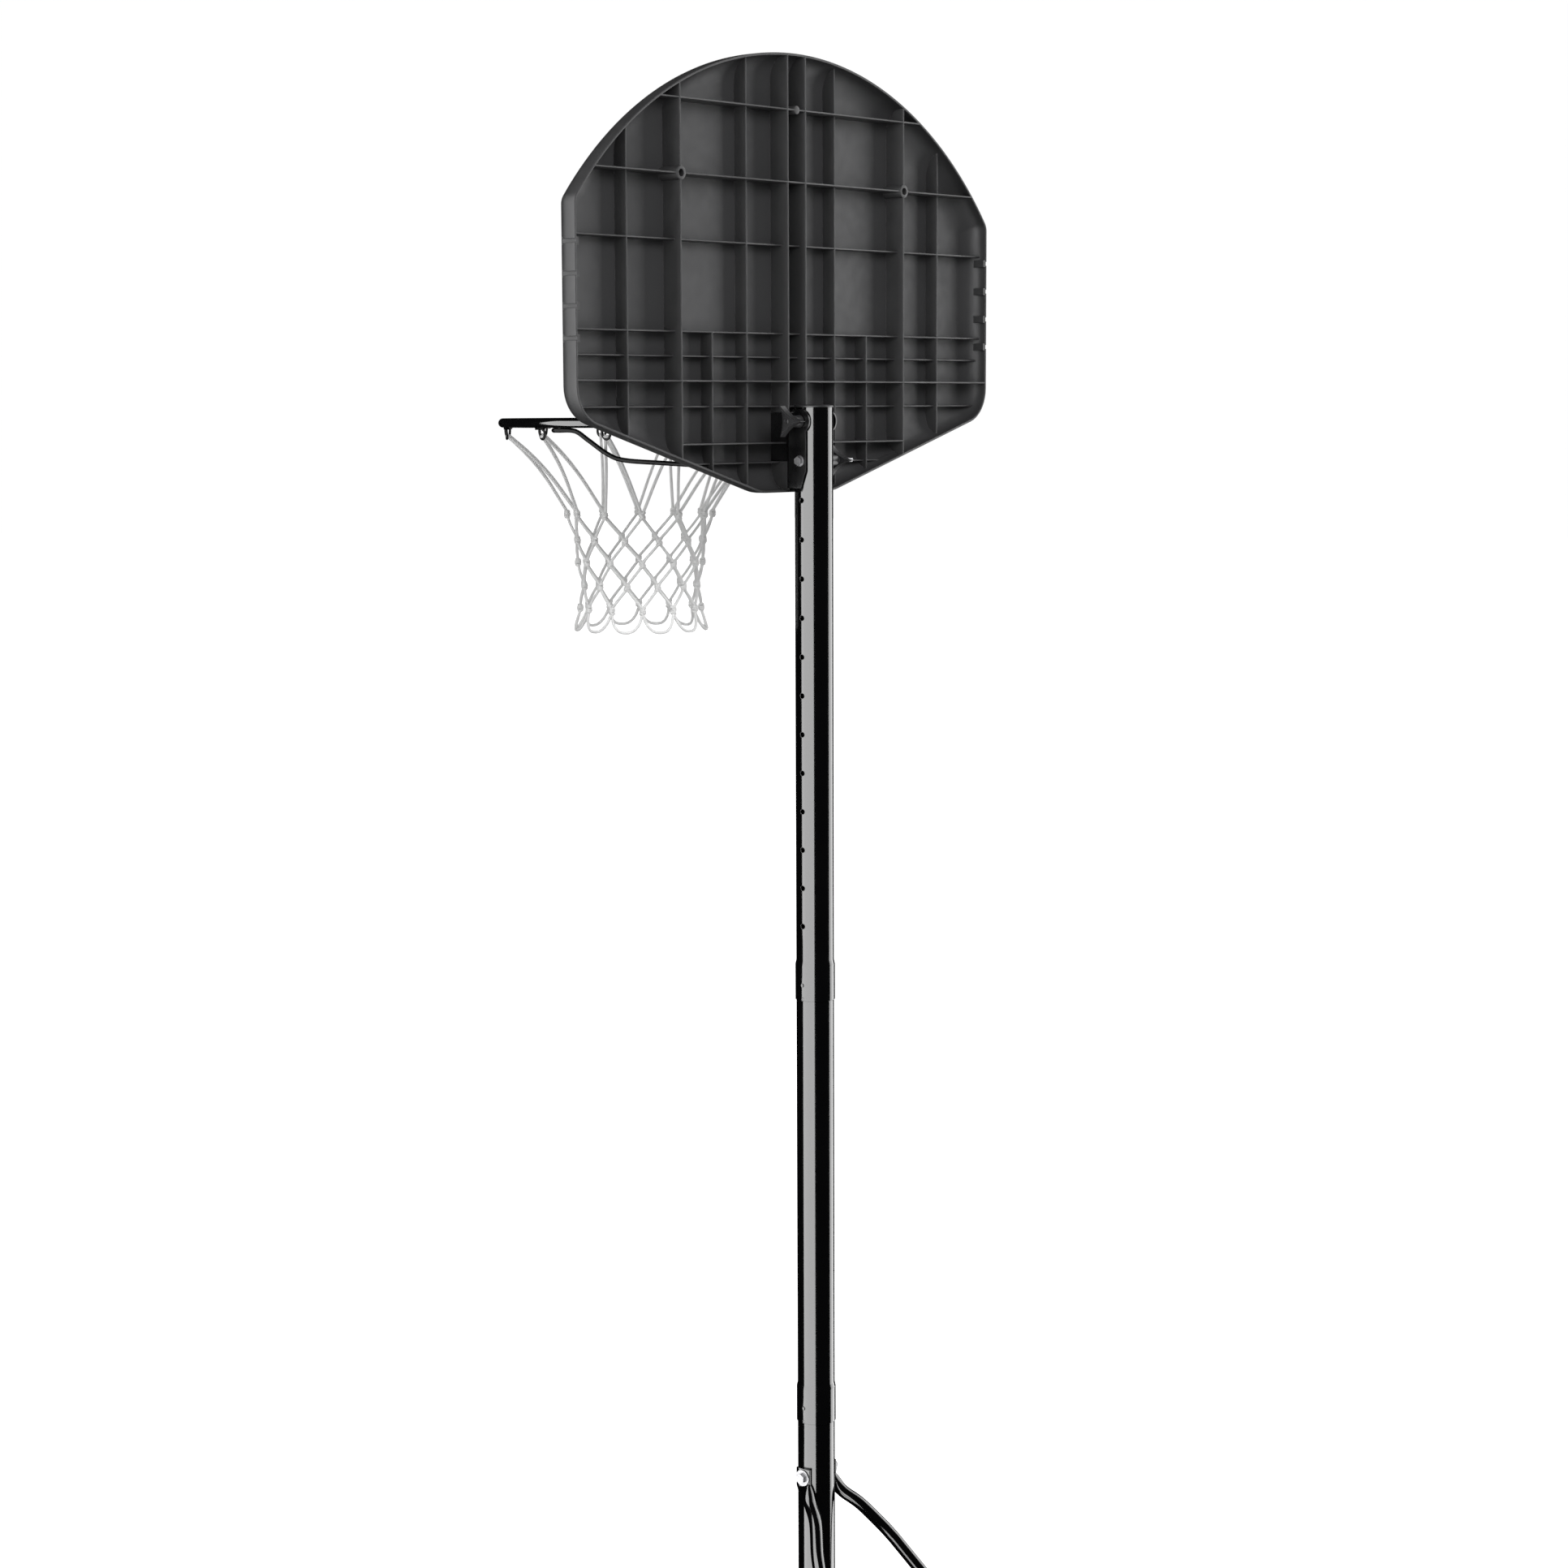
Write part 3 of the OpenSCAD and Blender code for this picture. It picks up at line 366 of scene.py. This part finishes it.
def make_floor():
    reach = FLOOR_REACH
    floor = new_object("floor", [(-reach, -reach, 0), (reach, -reach, 0), (reach, reach, 0),
                                 (-reach, reach, 0)], [(0, 1, 2, 3)])
    mat = bpy.data.materials.new("floor")
    mat.use_nodes = True
    nodes, links = mat.node_tree.nodes, mat.node_tree.links
    bsdf = nodes["Principled BSDF"]
    bsdf.inputs["Base Color"].default_value = (0.85, 0.85, 0.85, 1)
    bsdf.inputs["Roughness"].default_value = 0.9
    bsdf.inputs["Specular IOR Level"].default_value = 0.0
    bsdf.inputs["Emission Color"].default_value = (1, 1, 1, 1)
    where = nodes.new("ShaderNodeNewGeometry")
    far = nodes.new("ShaderNodeVectorMath")
    far.operation = "LENGTH"
    links.new(where.outputs["Position"], far.inputs[0])
    glow = nodes.new("ShaderNodeMapRange")
    for socket, value in (("From Min", 1.1), ("From Max", 2.3), ("To Min", 0.62), ("To Max", 1.0)):
        glow.inputs[socket].default_value = value
    links.new(far.outputs["Value"], glow.inputs["Value"])
    links.new(glow.outputs["Result"], bsdf.inputs["Emission Strength"])
    floor.data.materials.append(mat)
    floor.visible_glossy = False
    floor.visible_diffuse = False


def softbox(name, degrees, distance, width, low, high, radiance):
    """An upright panel that is only seen in reflections."""
    data = bpy.data.lights.new(name, "AREA")
    data.shape = "RECTANGLE"
    data.size = width
    data.size_y = high - low
    data.energy = radiance * pi * data.size * data.size_y
    light = bpy.data.objects.new(name, data)
    bpy.context.scene.collection.objects.link(light)
    way = direction(degrees)
    light.location = way * distance + Vector((0, 0, (low + high) / 2))
    light.rotation_euler = way.to_track_quat("Z", "Y").to_euler()
    light.visible_camera = False
    light.visible_diffuse = False


def make_light():
    softbox("left", -44.6, 3.2, 5.3, PANEL_LOW[0], PANEL_HIGH, 9.5)
    softbox("right", 115.5, 3.4, 2.5, PANEL_LOW[1], PANEL_HIGH, 5.8)
    fill = bpy.data.lights.new("fill", "AREA")
    fill.shape = "DISK"
    fill.size = FILL_WIDTH
    fill.energy = FILL_POWER
    lamp = bpy.data.objects.new("fill", fill)
    bpy.context.scene.collection.objects.link(lamp)
    lamp.location = FILL_PLACE
    lamp.rotation_euler = (lamp.location - FILL_AIM).to_track_quat("Z", "Y").to_euler()
    lamp.visible_camera = False
    lamp.visible_glossy = False
    world = bpy.data.worlds.new("world")
    bpy.context.scene.world = world
    world.use_nodes = True
    nodes, links = world.node_tree.nodes, world.node_tree.links
    back = nodes["Background"]
    path = nodes.new("ShaderNodeLightPath")
    level = nodes.new("ShaderNodeMath")
    level.operation = "MULTIPLY_ADD"
    level.inputs[1].default_value = WORLD_SOFT
    level.inputs[2].default_value = WORLD_SHINE
    links.new(path.outputs["Is Diffuse Ray"], level.inputs[0])
    add = nodes.new("ShaderNodeMath")
    add.operation = "ADD"
    links.new(level.outputs[0], add.inputs[0])
    links.new(path.outputs["Is Camera Ray"], add.inputs[1])
    links.new(add.outputs[0], back.inputs["Strength"])
    back.inputs["Color"].default_value = (1, 1, 1, 1)
    bpy.context.scene.view_settings.view_transform = "Standard"


# ---------- backboard ----------

TIP_FLAT = 94 * MM
SLOPE = tan(radians(16.4))
BORDER = 41 * MM
SKIN = 4 * MM
FLOOR_Y = FRONT_Y + SKIN
ARCH_R = 663 * MM
ARCH_Z = BOARD_TOP - ARCH_R
SHALLOW = TIP_Y - 12.6 * MM
LOW = TIP_Y - 19 * MM
DEEP_X = (22.5 * MM, 284 * MM)
SHALLOW_X = (112.5 * MM, 395.5 * MM)
SHORT_X = 197.5 * MM
DEEP_Z = (67.4 * MM, 392.7 * MM, 509.6 * MM)
SHALLOW_Z = (145.8 * MM, 290.1 * MM)
LOW_Z = (26.5 * MM, 106.9 * MM)
BRACKET_RIB_Z = -33.4 * MM
STUB_Z = -65.6 * MM
NOTCHES = [(278 - 49 * i) * MM for i in range(4)]
POCKET = 28.7 * MM
POCKET_Z = (RIM.z - 64 * MM, RIM.z + 17 * MM)
SQUARE_FOOT, SQUARE_TALL, SQUARE_HALF = 40 * MM, 0.37, 0.280
SQUARE_BAND, SQUARE_R = 0.030, 0.012


def corner(a, b, c, r, n):
    e, f = unit(b - a), unit(c - b)
    turn = acos(min(1, e.dot(f)))
    m = Vector((-e.y, e.x))
    mid = b - e * (r * tan(turn / 2)) + m * r
    out = []
    for k in range(n + 1):
        t = turn * k / n
        out.append(mid - Vector((m.x * cos(t) - m.y * sin(t), m.x * sin(t) + m.y * cos(t))) * r)
    return out


def board_outline():
    """Counterclockwise corners of the board in X and Z, and the radius of each."""
    side = asin(HALF_W / ARCH_R)
    step = cos(side) * (BORDER * (tan(pi / 4 - side / 2) + 0.1) + 8 * MM)
    end = asin((HALF_W - step) / ARCH_R)
    steps = 40
    half = [Vector((TIP_FLAT, BOARD_LOW)), Vector((HALF_W, BOARD_LOW + (HALF_W - TIP_FLAT) * SLOPE)),
            Vector((HALF_W, ARCH_Z + sqrt(ARCH_R ** 2 - HALF_W ** 2)))]
    for i in range(steps):
        a = end * (1 - i / steps)
        half.append(Vector((ARCH_R * sin(a), ARCH_Z + ARCH_R * cos(a))))
    whole = half + [Vector((0, BOARD_TOP))] + [Vector((-p.x, p.y)) for p in reversed(half)]
    radii = [0.0] * len(whole)
    for i, r in enumerate((90 * MM, 62 * MM, 26 * MM)):
        radii[i] = radii[-1 - i] = r
    return whole, radii


def board_ring(d, n=9):
    whole, radii = board_outline()
    inner = [Vector(p) for p in shrunk(whole, d)]
    out = []
    for i, r in enumerate(radii):
        if r:
            out += corner(inner[i - 1], inner[i], inner[(i + 1) % len(inner)], max(r - d, 4 * MM), n)
        else:
            out.append(inner[i])
    return out


def reach(d, axis, value):
    """Where the line at value on the axis (0 is X, 1 is Z) crosses the outline inset by d."""
    ring = board_ring(d)
    hits = []
    for a, b in zip(ring, ring[1:] + ring[:1]):
        if (a[axis] - value) * (b[axis] - value) < 0:
            t = (value - a[axis]) / (b[axis] - a[axis])
            hits.append(a[1 - axis] + (b[1 - axis] - a[1 - axis]) * t)
    return min(hits), max(hits)


def rib(axis, value, tip, low=None, high=None):
    """A drafted blade with a rounded edge, that ends in the border or where low and high say."""
    wide, thin = 1.85 * MM, 1.35 * MM
    inner, outer = reach(13 * MM, axis, value), reach(2.2 * MM, axis, value)
    levels = [(FLOOR_Y - MM, wide, inner), (FRONT_Y + 15.5 * MM, wide - 0.2 * MM, inner),
              (FRONT_Y + 15.5 * MM, wide - 0.2 * MM, outer)]
    levels += [(tip - 1.1 * MM, thin, outer), (tip - 0.5 * MM, thin - 0.15 * MM, outer),
               (tip - 0.15 * MM, thin - 0.5 * MM, outer), (tip, thin - 0.95 * MM, outer)]
    rings = []
    for y, w, span in levels:
        a = span[0] if low is None else max(low, span[0])
        b = span[1] if high is None else min(high, span[1])
        flat = [(value - w, a), (value + w, a), (value + w, b), (value - w, b)]
        rings.append([Vector((p, y, q)) if axis == 0 else Vector((q, y, p)) for p, q in flat])
    return new_object("rib", *loft(rings))


def block(low, high):
    (x0, y0, z0), (x1, y1, z1) = low, high
    return new_object("block", *loft([[Vector((x0, y, z0)), Vector((x1, y, z0)),
                                       Vector((x1, y, z1)), Vector((x0, y, z1))] for y in (y0, y1)]))


def make_board():
    rings = []
    for k in range(10):
        a = radians(10 * k)
        rings.append((22 * MM * (1 - sin(a)), FRONT_Y + 24 * MM * (1 - cos(a))))
    rings += [(0, TIP_Y - 1.3 * MM), (0.1 * MM, TIP_Y - 0.7 * MM), (0.5 * MM, TIP_Y - 0.2 * MM),
              (1.2 * MM, TIP_Y), (2.8 * MM, TIP_Y), (3.5 * MM, TIP_Y - 0.2 * MM),
              (3.9 * MM, TIP_Y - 0.7 * MM)]
    deep = TIP_Y - FLOOR_Y - 8 * MM
    for k in range(12):
        a = radians(90 - 90 * k / 11)
        rings.append((SKIN + (BORDER - SKIN) * (1 - sin(a)), FLOOR_Y + deep * (1 - cos(a))))
    tray = new_object("backboard_moulding", *loft(
        [[Vector((p.x, y, p.y)) for p in board_ring(d)] for d, y in rings]))
    tools = []
    for sign in (-1, 1):
        for x in DEEP_X:
            tools.append(rib(0, sign * x, TIP_Y))
        for x in SHALLOW_X:
            tools.append(rib(0, sign * x, SHALLOW))
        tools.append(rib(0, sign * SHORT_X, SHALLOW, high=RIM.z + SHALLOW_Z[0]))
    for z in DEEP_Z:
        tools.append(rib(1, RIM.z + z, TIP_Y))
    for z in SHALLOW_Z:
        tools.append(rib(1, RIM.z + z, SHALLOW))
    for z in LOW_Z:
        tools.append(rib(1, RIM.z + z, LOW))
    tools.append(rib(1, RIM.z + BRACKET_RIB_Z, TIP_Y, -DEEP_X[1], DEEP_X[1]))
    tools.append(rib(1, RIM.z + STUB_Z, LOW, -DEEP_X[1], DEEP_X[1]))
    for x, z, r, rise in ((-DEEP_X[1], DEEP_Z[1], 11 * MM, MM), (DEEP_X[1], DEEP_Z[1], 11 * MM, MM),
                          (0, DEEP_Z[2], 7 * MM, 0)):
        turned = lathe([(0.0001, FLOOR_Y - MM), (r + 0.4 * MM, FLOOR_Y - MM), (r, TIP_Y + rise - MM),
                        (r - 0.3 * MM, TIP_Y + rise - 0.3 * MM), (r - MM, TIP_Y + rise),
                        (0.0001, TIP_Y + rise)], Vector((x, 0, RIM.z + z)), (0, 1, 0), 40)
        tools.append(new_object("boss", *turned))
    for sign in (-1, 1):
        for z in NOTCHES:
            a, b = sorted((sign * (HALF_W - 9 * MM), sign * (HALF_W - 1.5 * MM)))
            tools.append(block((a, FLOOR_Y + 8 * MM, RIM.z + z - 6 * MM),
                               (b, TIP_Y - 0.6 * MM, RIM.z + z + 6 * MM)))
    boolean(tray, tools, "UNION")
    cuts = [block((-POCKET, FLOOR_Y, POCKET_Z[0]), (POCKET, TIP_Y + 9 * MM, POCKET_Z[1]))]
    for sign in (-1, 1):
        hole = lathe([(0.0001, FLOOR_Y + 2 * MM), (6 * MM, FLOOR_Y + 2 * MM), (6 * MM, TIP_Y + MM),
                      (7 * MM, TIP_Y + 3 * MM), (0.0001, TIP_Y + 3 * MM)],
                     Vector((sign * DEEP_X[1], 0, RIM.z + DEEP_Z[1])), (0, 1, 0), 32)
        cuts.append(new_object("hole", *hole))
        for z in NOTCHES:
            a, b = sorted((sign * (HALF_W - 3 * MM), sign * (HALF_W + 2 * MM)))
            cuts.append(block((a, FRONT_Y - MM, RIM.z + z - 3.5 * MM),
                              (b, TIP_Y + MM, RIM.z + z + 3.5 * MM)))
    boolean(tray, cuts, "DIFFERENCE")
    fair(tray.data, 32)
    settle(tray, "hoop_head", "board_plastic", ["backboard"])


def frame_of(low, high, width, r, n=5):
    """A rounded rectangle's band in X and Z, as a raised strip on the board's front."""
    out = []
    for inset in (0, width):
        x, low_z, high_z = high[0] - inset, low[1] + inset, high[1] - inset
        q = max(r - inset, 2 * MM)
        ring = []
        for cx, cz, start in ((x - q, high_z - q, 0), (-x + q, high_z - q, 90),
                              (-x + q, low_z + q, 180), (x - q, low_z + q, 270)):
            turns = [radians(start + 90 * k / n) for k in range(n + 1)]
            ring += [(cx + q * cos(a), cz + q * sin(a)) for a in turns]
        out.append(ring)
    front, back = FRONT_Y - 0.6 * MM, FRONT_Y + 0.5 * MM
    soft = FRONT_Y - 0.2 * MM
    outer, inner = out
    near = [((p[0] * 0.999 + q[0] * 0.001), (p[1] * 0.999 + q[1] * 0.001)) for p, q in zip(outer, inner)]
    far = [((q[0] * 0.999 + p[0] * 0.001), (q[1] * 0.999 + p[1] * 0.001)) for p, q in zip(outer, inner)]
    return loft([[Vector((x, y, z)) for x, z in ring] for ring, y in
                 ((outer, back), (outer, soft), (near, front), (far, front), (inner, soft),
                  (inner, back))], closed=True)


def make_marks():
    """The shooter's square that such a board carries, raised a little from its front."""
    low = RIM.z + SQUARE_FOOT
    band = frame_of((0, low), (SQUARE_HALF, low + SQUARE_TALL), SQUARE_BAND, SQUARE_R)
    piece("target_square", [band], "hoop_head", "board_plastic", (), 30, "board_marking")


# ---------- net ----------

def on_net(turn, r, z, out=0.0):
    a = radians(turn)
    return Vector((RIM.x + (r + out) * cos(a), RIM.y + (r + out) * sin(a), z))


COUNT = 12
STEP = 360 / COUNT
ROWS = [(127 * MM, 2.890), (113.5 * MM, 2.845), (109 * MM, 2.806), (102 * MM, 2.766), (106 * MM, 2.726)]
CORD_R = 2.65 * MM
HOOK_TOP = RIM.z - ROD_R
WIRE_R = 2.2 * MM
HEM_R = 117 * MM


def strand(a, b, normal, bow):
    """A cord between two knots, a little proud of the straight line."""
    points = [a.lerp(b, t) + normal * (bow * sin(pi * t)) for t in (0, 0.25, 0.5, 0.75, 1)]
    return tube(smooth(points, 3), CORD_R, 8)


def knot(centre, turn, lean):
    """Two turns of cord wound round each other, with a short loop above and below."""
    a = radians(turn)
    out = Vector((cos(a), sin(a), 0))
    side = Vector((-sin(a), cos(a), 0)) * lean
    up = Vector((0, 0, 1))

    def loop(middle, e, f, r, s, turns=1.0, climb=0.0, n=14):
        path = [middle + e * (r * cos(2 * pi * k / n)) + f * (s * sin(2 * pi * k / n))
                + up * (climb * (k / n - turns / 2)) for k in range(int(n * turns) + 1)]
        closed = turns == 1.0
        return tube(path[:-1] if closed else path, CORD_R, 8, closed)

    return [loop(centre + up * 3.2 * MM + side * 0.8 * MM, unit(side + up * 0.55), unit(out + up * 0.2),
                 3.4 * MM, 3.0 * MM),
            loop(centre - up * 0.6 * MM, unit(side - up * 0.35), unit(out), 4.0 * MM, 3.6 * MM,
                 1.5, 3.0 * MM),
            loop(centre - up * 4.2 * MM - side * 0.8 * MM, unit(side + up * 0.5), unit(out - up * 0.2),
                 3.2 * MM, 3.0 * MM)]


def make_net():
    """A cord hangs in every hook and runs to two knots, and each row hangs on the one above."""
    cords, knots = [], []
    saddle = HOOK_LOW + 2 * WIRE_R + CORD_R
    r1, z1 = ROWS[0]
    for i in range(COUNT):
        hook = i * STEP
        halves = []
        for way in (-1, 1):
            start = on_net(hook + way * 0.75, RIM_R, saddle, 0.5 * MM)
            end = on_net(hook + way * STEP / 2 - way * 0.6, r1, z1 + 4 * MM)
            inward = unit(Vector((RIM.x, RIM.y, 0)) - Vector((start.x, start.y, 0)))
            points = [start, start + inward * 4.5 * MM - Vector((0, 0, 2.5 * MM))]
            for t, sag in ((0.22, 8.0), (0.42, 10.5), (0.62, 9.0), (0.82, 4.5)):
                bow = inward * (sag * 0.75 * MM) + Vector((0, 0, sag * 0.4 * MM))
                points.append(start.lerp(end, t) + bow)
            halves.append(points + [end])
        cords.append(tube(smooth(halves[0][::-1] + halves[1], 5), CORD_R, 8))
    for row, (r, z) in enumerate(ROWS):
        for i in range(COUNT):
            turn = (i + 0.5 * ((row + 1) % 2)) * STEP
            knots += knot(on_net(turn, r, z), turn, 1 if (i + row) % 2 else -1)
            if row + 1 == len(ROWS):
                continue
            r2, z2 = ROWS[row + 1]
            for way in (-1, 1):
                mid = radians(turn + way * STEP / 4)
                below = on_net(turn + way * STEP / 2, r2, z2 + 3 * MM)
                cords.append(strand(on_net(turn, r, z - 3 * MM), below,
                                    Vector((cos(mid), sin(mid), 0)), 1.5 * MM))
    r5, z5 = ROWS[-1]
    top, deep = z5 - 4 * MM, NET_LOW + CORD_R
    for i in range(COUNT):
        points = []
        for k in range(15):
            t = k / 14 * 2 - 1
            fall = (1 - abs(t) ** 2.6) ** 0.8
            r, z = r5 + (HEM_R - r5) * fall, top + (deep - top) * fall
            points.append(on_net((i + 0.5 * t) * STEP, r, z))
        cords.append(tube(smooth(points, 2), CORD_R, 8))
    piece("net_cords", cords, "hoop_head", "net_cord", ["net_upper", "net_lower"])
    piece("net_knots", knots, "hoop_head", "net_cord")


# ---------- hooks, braces and struts ----------

def make_hooks():
    """One open curl of wire hangs from a small plate in each place under the ring."""
    wire = WIRE_R
    parts = []
    drop = HOOK_TOP - HOOK_LOW - wire
    curl = [(-8.5, 0, 0), (-8.3, 0, 0.30), (-6.8, 0.3, 0.70), (-2.6, 1.0, 0.98), (2.6, 2.0, 0.97),
            (6.4, 3.0, 0.70), (6.6, 3.8, 0.36), (3.6, 4.4, 0.20)]
    for i in range(COUNT):
        turn = i * STEP
        a = radians(turn)
        out = Vector((cos(a), sin(a), 0))
        side = Vector((-sin(a), cos(a), 0))
        top = on_net(turn, RIM_R, HOOK_TOP + 0.8 * MM)
        path = [top + side * (s * MM) + out * (o * MM - 1 * MM) - Vector((0, 0, drop * d))
                for s, o, d in curl]
        parts.append(tube(smooth(path, 4), wire, 10))
        low, high = HOOK_TOP - 3.2 * MM, HOOK_TOP + MM
        flat = []
        for t in (-1, -0.5, 0, 0.5, 1):
            mid = on_net(turn + t * 2.4 - 1.6, RIM_R, 0)
            o = unit(mid - Vector((RIM.x, RIM.y, 0)))
            flat.append([mid + o * (w * MM) + Vector((0, 0, z)) for w, z in
                         ((-2.6, low + 0.5 * MM), (-2.1, low), (2.1, low), (2.6, low + 0.5 * MM),
                          (2.6, high), (-2.6, high))])
        parts.append(loft(flat))
    piece("hook_curls", parts, "hoop_head", "rim_paint", ["net_hooks"], 40, "rod_paint")


def rim_point(turn, drop):
    return on_net(turn, RIM_R, HOOK_TOP - drop)


def make_braces():
    """A bent rod from the ring's side to the bracket; the right one mirrors the left."""
    r = 4 * MM
    lo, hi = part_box("brace_left")
    end = Vector((54 * MM, hi.y - r, lo.z + r))
    turn = 10.0
    start = rim_point(turn, r)

    def at(t, drop):
        p = start.lerp(end, t)
        p.z = start.z + (end.z - start.z) * drop
        return p

    path = smooth([rim_point(turn - 4, r), rim_point(turn - 1.5, r), at(0.07, 0.02), at(0.14, 0.26),
                   at(0.24, 0.62), at(0.33, 0.78), at(0.55, 0.86), at(1, 1)], 6)
    for name, sign in (("brace_left", 1), ("brace_right", -1)):
        line = [Vector((p.x * sign, p.y, p.z)) for p in path]
        piece(name + "_rod", [tube(line, r, 20)], "hoop_head", "rim_paint", [name], None, "rod_paint")


def section(centre, wide, thin, half_w, half_t, n=28):
    """A rounded bar's outline: a circle where both halves are equal, a flat strip otherwise."""
    out = []
    flat = 1 - half_t / half_w if half_w > half_t else 0
    power = 2 + 6 * flat
    for j in range(n):
        a = 2 * pi * j / n
        c, s = cos(a), sin(a)
        k = (abs(c) ** power + abs(s) ** power) ** (-1 / power)
        out.append(centre + wide * (half_w * c * k) + thin * (half_t * s * k))
    return out


def make_struts():
    """A tube with both ends pressed flat and bolted; the right one mirrors the left."""
    lo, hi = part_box("strut_left")
    pole_x = lo.x
    half_t, half_w, tube_r = 2.5 * MM, 15 * MM, 11 * MM
    x0, bolt_z = pole_x + half_t, hi.z - 16 * MM
    foot_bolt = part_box("strut_foot_bolts")
    foot = Vector((foot_bolt[1].x - 7.5 * MM, (foot_bolt[0].y + foot_bolt[1].y) / 2, lo.z + half_t))
    head = [Vector((x0 + x * MM, y * MM, bolt_z + z * MM)) for x, y, z in
            ((0, 0, 16), (0, 0, 0), (0, 0, -15), (2, 8, -24), (10, 24, -42), (26, 48, -62),
             (53, 74, -101), (66, 90, -124))]
    way = unit(Vector((foot.x - head[-1].x, foot.y - head[-1].y, 0)))
    knee = foot - way * 36 * MM + Vector((0, 0, 24.5 * MM))
    tail = [knee, foot - way * 27 * MM + Vector((0, 0, 10 * MM)),
            foot - way * 17 * MM + Vector((0, 0, 1.5 * MM)), foot - way * 10 * MM, foot + way * 17 * MM]
    upper = head[:2] + smooth(head[2:], 5)
    straight = [upper[-1].lerp(knee, k / 12) for k in range(1, 12)]
    lower = smooth(tail, 4)
    path = upper + straight + lower
    n = len(path)
    thin = Vector((1, 0, 0))
    frames = []
    for i in range(n):
        t = unit(path[min(i + 1, n - 1)] - path[max(i - 1, 0)])
        thin = unit(thin - t * thin.dot(t))
        frames.append((t, thin.copy()))
    t, e = frames[-1]
    target = unit(Vector((0, 0, 1)) - t * t.z)
    twist = acos(max(-1, min(1, e.dot(target)))) * (1 if e.cross(target).dot(t) > 0 else -1)
    if abs(twist) > pi / 2:
        twist -= pi * (1 if twist > 0 else -1)
    for name, sign in (("strut_left", 1), ("strut_right", -1)):
        rings = []
        for i, (t, e) in enumerate(frames):
            share = max(0.0, min(1.0, (i - len(upper) + 1) / 12))
            e = Matrix.Rotation(twist * share, 3, t) @ e
            f = t.cross(e)
            a = max(0.0, min(1.0, (i - 2) / 9))
            b = max(0.0, min(1.0, (n - 6 - i) / 9))
            k = min(a, b)
            k = k * k * (3 - 2 * k)
            ring = section(path[i], f, e, half_w + (tube_r - half_w) * k, half_t + (tube_r - half_t) * k)
            rings.append([Vector((p.x * sign, p.y, p.z)) for p in ring])
        piece(name + "_tube", [loft(rings)], "stand", "pole_paint", [name], 50)


# ---------- all of it ----------

make_camera()
make_floor()
make_light()
slot_of = {s["node"]: s["material_slot"] for s in frame["record"]["subparts"]}
for node, obj in NODES.items():
    obj.data.materials.clear()
    obj.data.materials.append(MATERIALS[slot_of[node]])
make_board()
make_marks()
make_net()
make_hooks()
make_braces()
make_struts()

bpy.context.view_layer.update()
